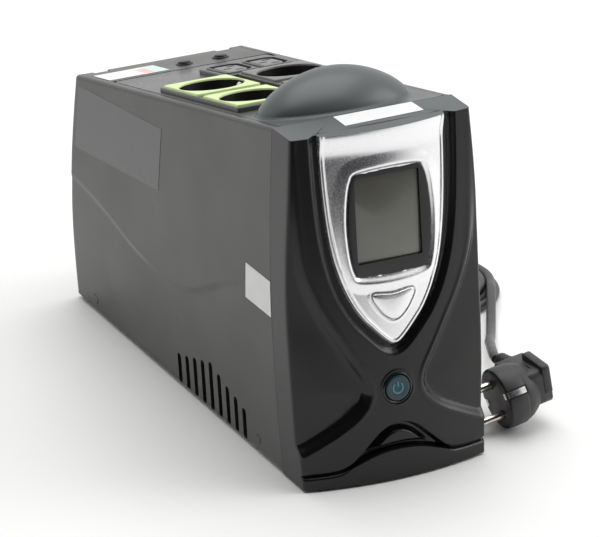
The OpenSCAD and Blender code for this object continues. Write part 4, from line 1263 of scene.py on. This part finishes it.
def rubbery(name, color, roughness=0.5):
    s = Shader(name, color, roughness)
    s.vary(color, 0.12, 60.0)
    s.rough(roughness - 0.07, roughness + 0.07, 150.0)
    s.bump(1400.0, 0.12, 0.00008)
    return s.mat


MAT = {
    "case": moulded("case_abs", (0.026, 0.0255, 0.024), 0.30),
    "front": front_plastic(),
    "hood": moulded("hood_abs", (0.070, 0.080, 0.082), 0.36),
    "top": moulded("top_abs", (0.070, 0.072, 0.071), 0.30),
    "silver": silver_paint(),
    "gloss": moulded("gloss_black", (0.012, 0.012, 0.012), 0.12, 0.03),
    "panel": panel_glass(),
    "teal": moulded("teal_cap", (0.010, 0.042, 0.058), 0.26, 0.08),
    "mark": moulded("symbol_teal", (0.06, 0.27, 0.36), 0.4, 0.05),
    "green": moulded("bezel_green", (0.62, 0.76, 0.36), 0.42, 0.06, 0.03),
    "grey": moulded("bezel_grey", (0.16, 0.16, 0.155), 0.38, 0.08, 0.04),
    "black": moulded("outlet_black", (0.008, 0.008, 0.008), 0.36, 0.08),
    "insert": moulded("outlet_insert", (0.17, 0.17, 0.168), 0.36, 0.08),
    "paper": paper(),
    "film": moulded("film_on_black", (0.050, 0.051, 0.052), 0.12, 0.02, 0.05),
    "pink": moulded("tint_pink", (0.85, 0.48, 0.44), 0.5, 0.05, 0.03),
    "mint": moulded("tint_mint", (0.55, 0.78, 0.68), 0.5, 0.05, 0.03),
    "cord": rubbery("lead_pvc", (0.055, 0.055, 0.055), 0.46),
    "plug": rubbery("plug_pvc", (0.030, 0.030, 0.030), 0.48),
    "foot": rubbery("foot_rubber", (0.02, 0.02, 0.02), 0.7),
    "nickel": metal("nickel", (0.82, 0.76, 0.66), 0.22),
    "steel": metal("plated_steel", (0.66, 0.65, 0.62), 0.28, (1, 8, 1)),
    "brass": metal("contact_brass", (0.72, 0.52, 0.24), 0.3),
    "core": metal("core_steel", (0.16, 0.16, 0.17), 0.5, (1, 30, 1)),
    "alu": metal("heatsink_aluminium", (0.7, 0.71, 0.72), 0.36, (1, 1, 20)),
    "board": moulded("board_green", (0.02, 0.13, 0.06), 0.4, 0.2, 0.25),
    "winding": moulded("winding_enamel", (0.45, 0.2, 0.05), 0.3, 0.4, 0.2),
    "battery": moulded("battery_case", (0.06, 0.065, 0.075), 0.5),
    "red": rubbery("lead_red", (0.45, 0.02, 0.015)),
    "brown": rubbery("lead_brown", (0.11, 0.045, 0.02)),
    "relay": moulded("relay_blue", (0.02, 0.06, 0.26), 0.35),
    "sleeve": moulded("capacitor_sleeve", (0.02, 0.025, 0.09), 0.3),
    "ceramic": moulded("fuse_body", (0.75, 0.74, 0.7), 0.3, 0.05),
}
KEPT = {
    "case": ("base_tray", "cover_screws"),
    "board": ("display_board", "main_board"),
    "black": ("select_switch", "power_switch", "power_transistors", "controller_chip", "buzzer"),
    "brass": ("socket_contacts", "iec_contacts"),
    "battery": ("battery_block",),
    "red": ("battery_leads",),
    "brown": ("inlet_wires",),
    "steel": ("battery_terminals", "battery_strap", "transformer_clamp", "transformer_bolts", "board_screws"),
    "core": ("transformer_core",),
    "winding": ("transformer_windings",),
    "alu": ("heatsinks",),
    "relay": ("relays",),
    "sleeve": ("capacitors",),
    "ceramic": ("fuse",),
    "foot": ("feet",),
}


def dress_kept_nodes():
    """Puts a finished material on every CAD node that stays in view."""
    for key, names in KEPT.items():
        for name in names:
            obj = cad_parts[name]
            for k in range(max(len(obj.data.materials), 1)):
                if obj.material_slots:
                    obj.material_slots[k].material = MAT[key]
                else:
                    obj.data.materials.append(MAT[key])


# ---- camera, light and floor ----
def camera():
    """The photo's camera: it looks at target from its distance, turned and raised in radians."""
    target, distance = Vector((-0.06224, -0.15575, 0.143197)), 2.940362
    turn, rise, roll = 0.463, 0.409, -0.003
    back = Vector((-math.sin(turn) * math.cos(rise), -math.cos(turn) * math.cos(rise), math.sin(rise)))
    right = Vector((math.cos(turn), -math.sin(turn), 0.0))
    up = back.cross(right)
    right, up = right * math.cos(roll) + up * math.sin(roll), up * math.cos(roll) - right * math.sin(roll)
    data = bpy.data.cameras.new("camera")
    data.sensor_width, data.lens = 36.0, 309.8
    data.clip_start, data.clip_end = 0.1, 50.0
    cam = bpy.data.objects.new("camera", data)
    cam.matrix_world = Matrix((right, up, back)).transposed().to_4x4()
    cam.location = target + back * distance
    bpy.context.scene.collection.objects.link(cam)
    bpy.context.scene.camera = cam


def soft_light(name, place_at, look_at, size, power, color=(1, 1, 1)):
    data = bpy.data.lights.new(name, "AREA")
    data.shape, data.size, data.size_y = "RECTANGLE", size[0], size[1]
    data.energy, data.color = power, color
    obj = bpy.data.objects.new(name, data)
    obj.location = place_at
    obj.rotation_euler = (Vector(look_at) - Vector(place_at)).to_track_quat("-Z", "Y").to_euler()
    bpy.context.scene.collection.objects.link(obj)


def studio():
    """White sweep all round, darker on the viewer's side, with two soft boxes."""
    world = bpy.data.worlds.new("studio")
    bpy.context.scene.world = world
    world.use_nodes = True
    nodes, links = world.node_tree.nodes, world.node_tree.links
    coords = nodes.new("ShaderNodeTexCoord")
    dot = nodes.new("ShaderNodeVectorMath")
    dot.operation = "DOT_PRODUCT"
    dot.inputs[1].default_value = Vector((-0.41, -0.82, 0.40)).normalized()
    links.new(coords.outputs["Generated"], dot.inputs[0])
    stops = [(0.36, (1.0, 1.0, 1.0)), (0.50, (0.72, 0.72, 0.72))]
    stops += [(0.59, (0.12, 0.125, 0.135)), (0.71, (0.02, 0.02, 0.024))]
    color_ramp(world.node_tree, dot.outputs["Value"], stops, nodes["Background"].inputs["Color"])
    nodes["Background"].inputs["Strength"].default_value = 1.0
    soft_light("top_box", (0.1, 0.2, 1.6), (0, 0, 0.1), (1.4, 1.4), 16.0)
    soft_light("right_box", (1.3, -0.5, 0.9), (0, 0, 0.1), (0.9, 0.9), 7.0)
    mesh = bpy.data.meshes.new("floor")
    w, near = 6.0, -0.72
    mesh.from_pydata([(-w, near, 0), (w, near, 0), (w, w, 0), (-w, w, 0)], [], [(0, 1, 2, 3)])
    floor = bpy.data.objects.new("floor", mesh)
    bpy.context.scene.collection.objects.link(floor)
    s = Shader("floor_paper", (0.90, 0.90, 0.89), 0.6)
    s.vary((0.90, 0.90, 0.89), 0.01, 6.0)
    mesh.materials.append(s.mat)
    view = bpy.context.scene.view_settings
    view.view_transform, view.look = "Standard", "None"


camera()
studio()
mains_lead(MAT["cord"], MAT["plug"], (MAT["nickel"], MAT["steel"]))
front_moulding(MAT["front"], MAT["hood"])
silver_shield(MAT["silver"], MAT["hood"])
display(MAT["gloss"], MAT["panel"])
select_key(MAT["silver"])
power_button(MAT["gloss"], MAT["teal"], MAT["mark"])
side_covers(MAT["case"])
rear_panel(MAT["case"])
hood(MAT["hood"])
outlet_top(MAT["top"])
for socket_name, (socket_x, socket_s) in SOCKETS.items():
    tint = socket_name.split("_")[0]
    socket(f"socket_{socket_name}", socket_x, socket_s, MAT[tint], MAT["black"], f"{tint}_plastic")
earth_clips(MAT["steel"])
appliance_outlets(MAT["top"], MAT["insert"])
breakers(MAT["black"])
labels(MAT["paper"], (MAT["pink"], MAT["mint"]))
clear_film(MAT["film"])
dress_kept_nodes()
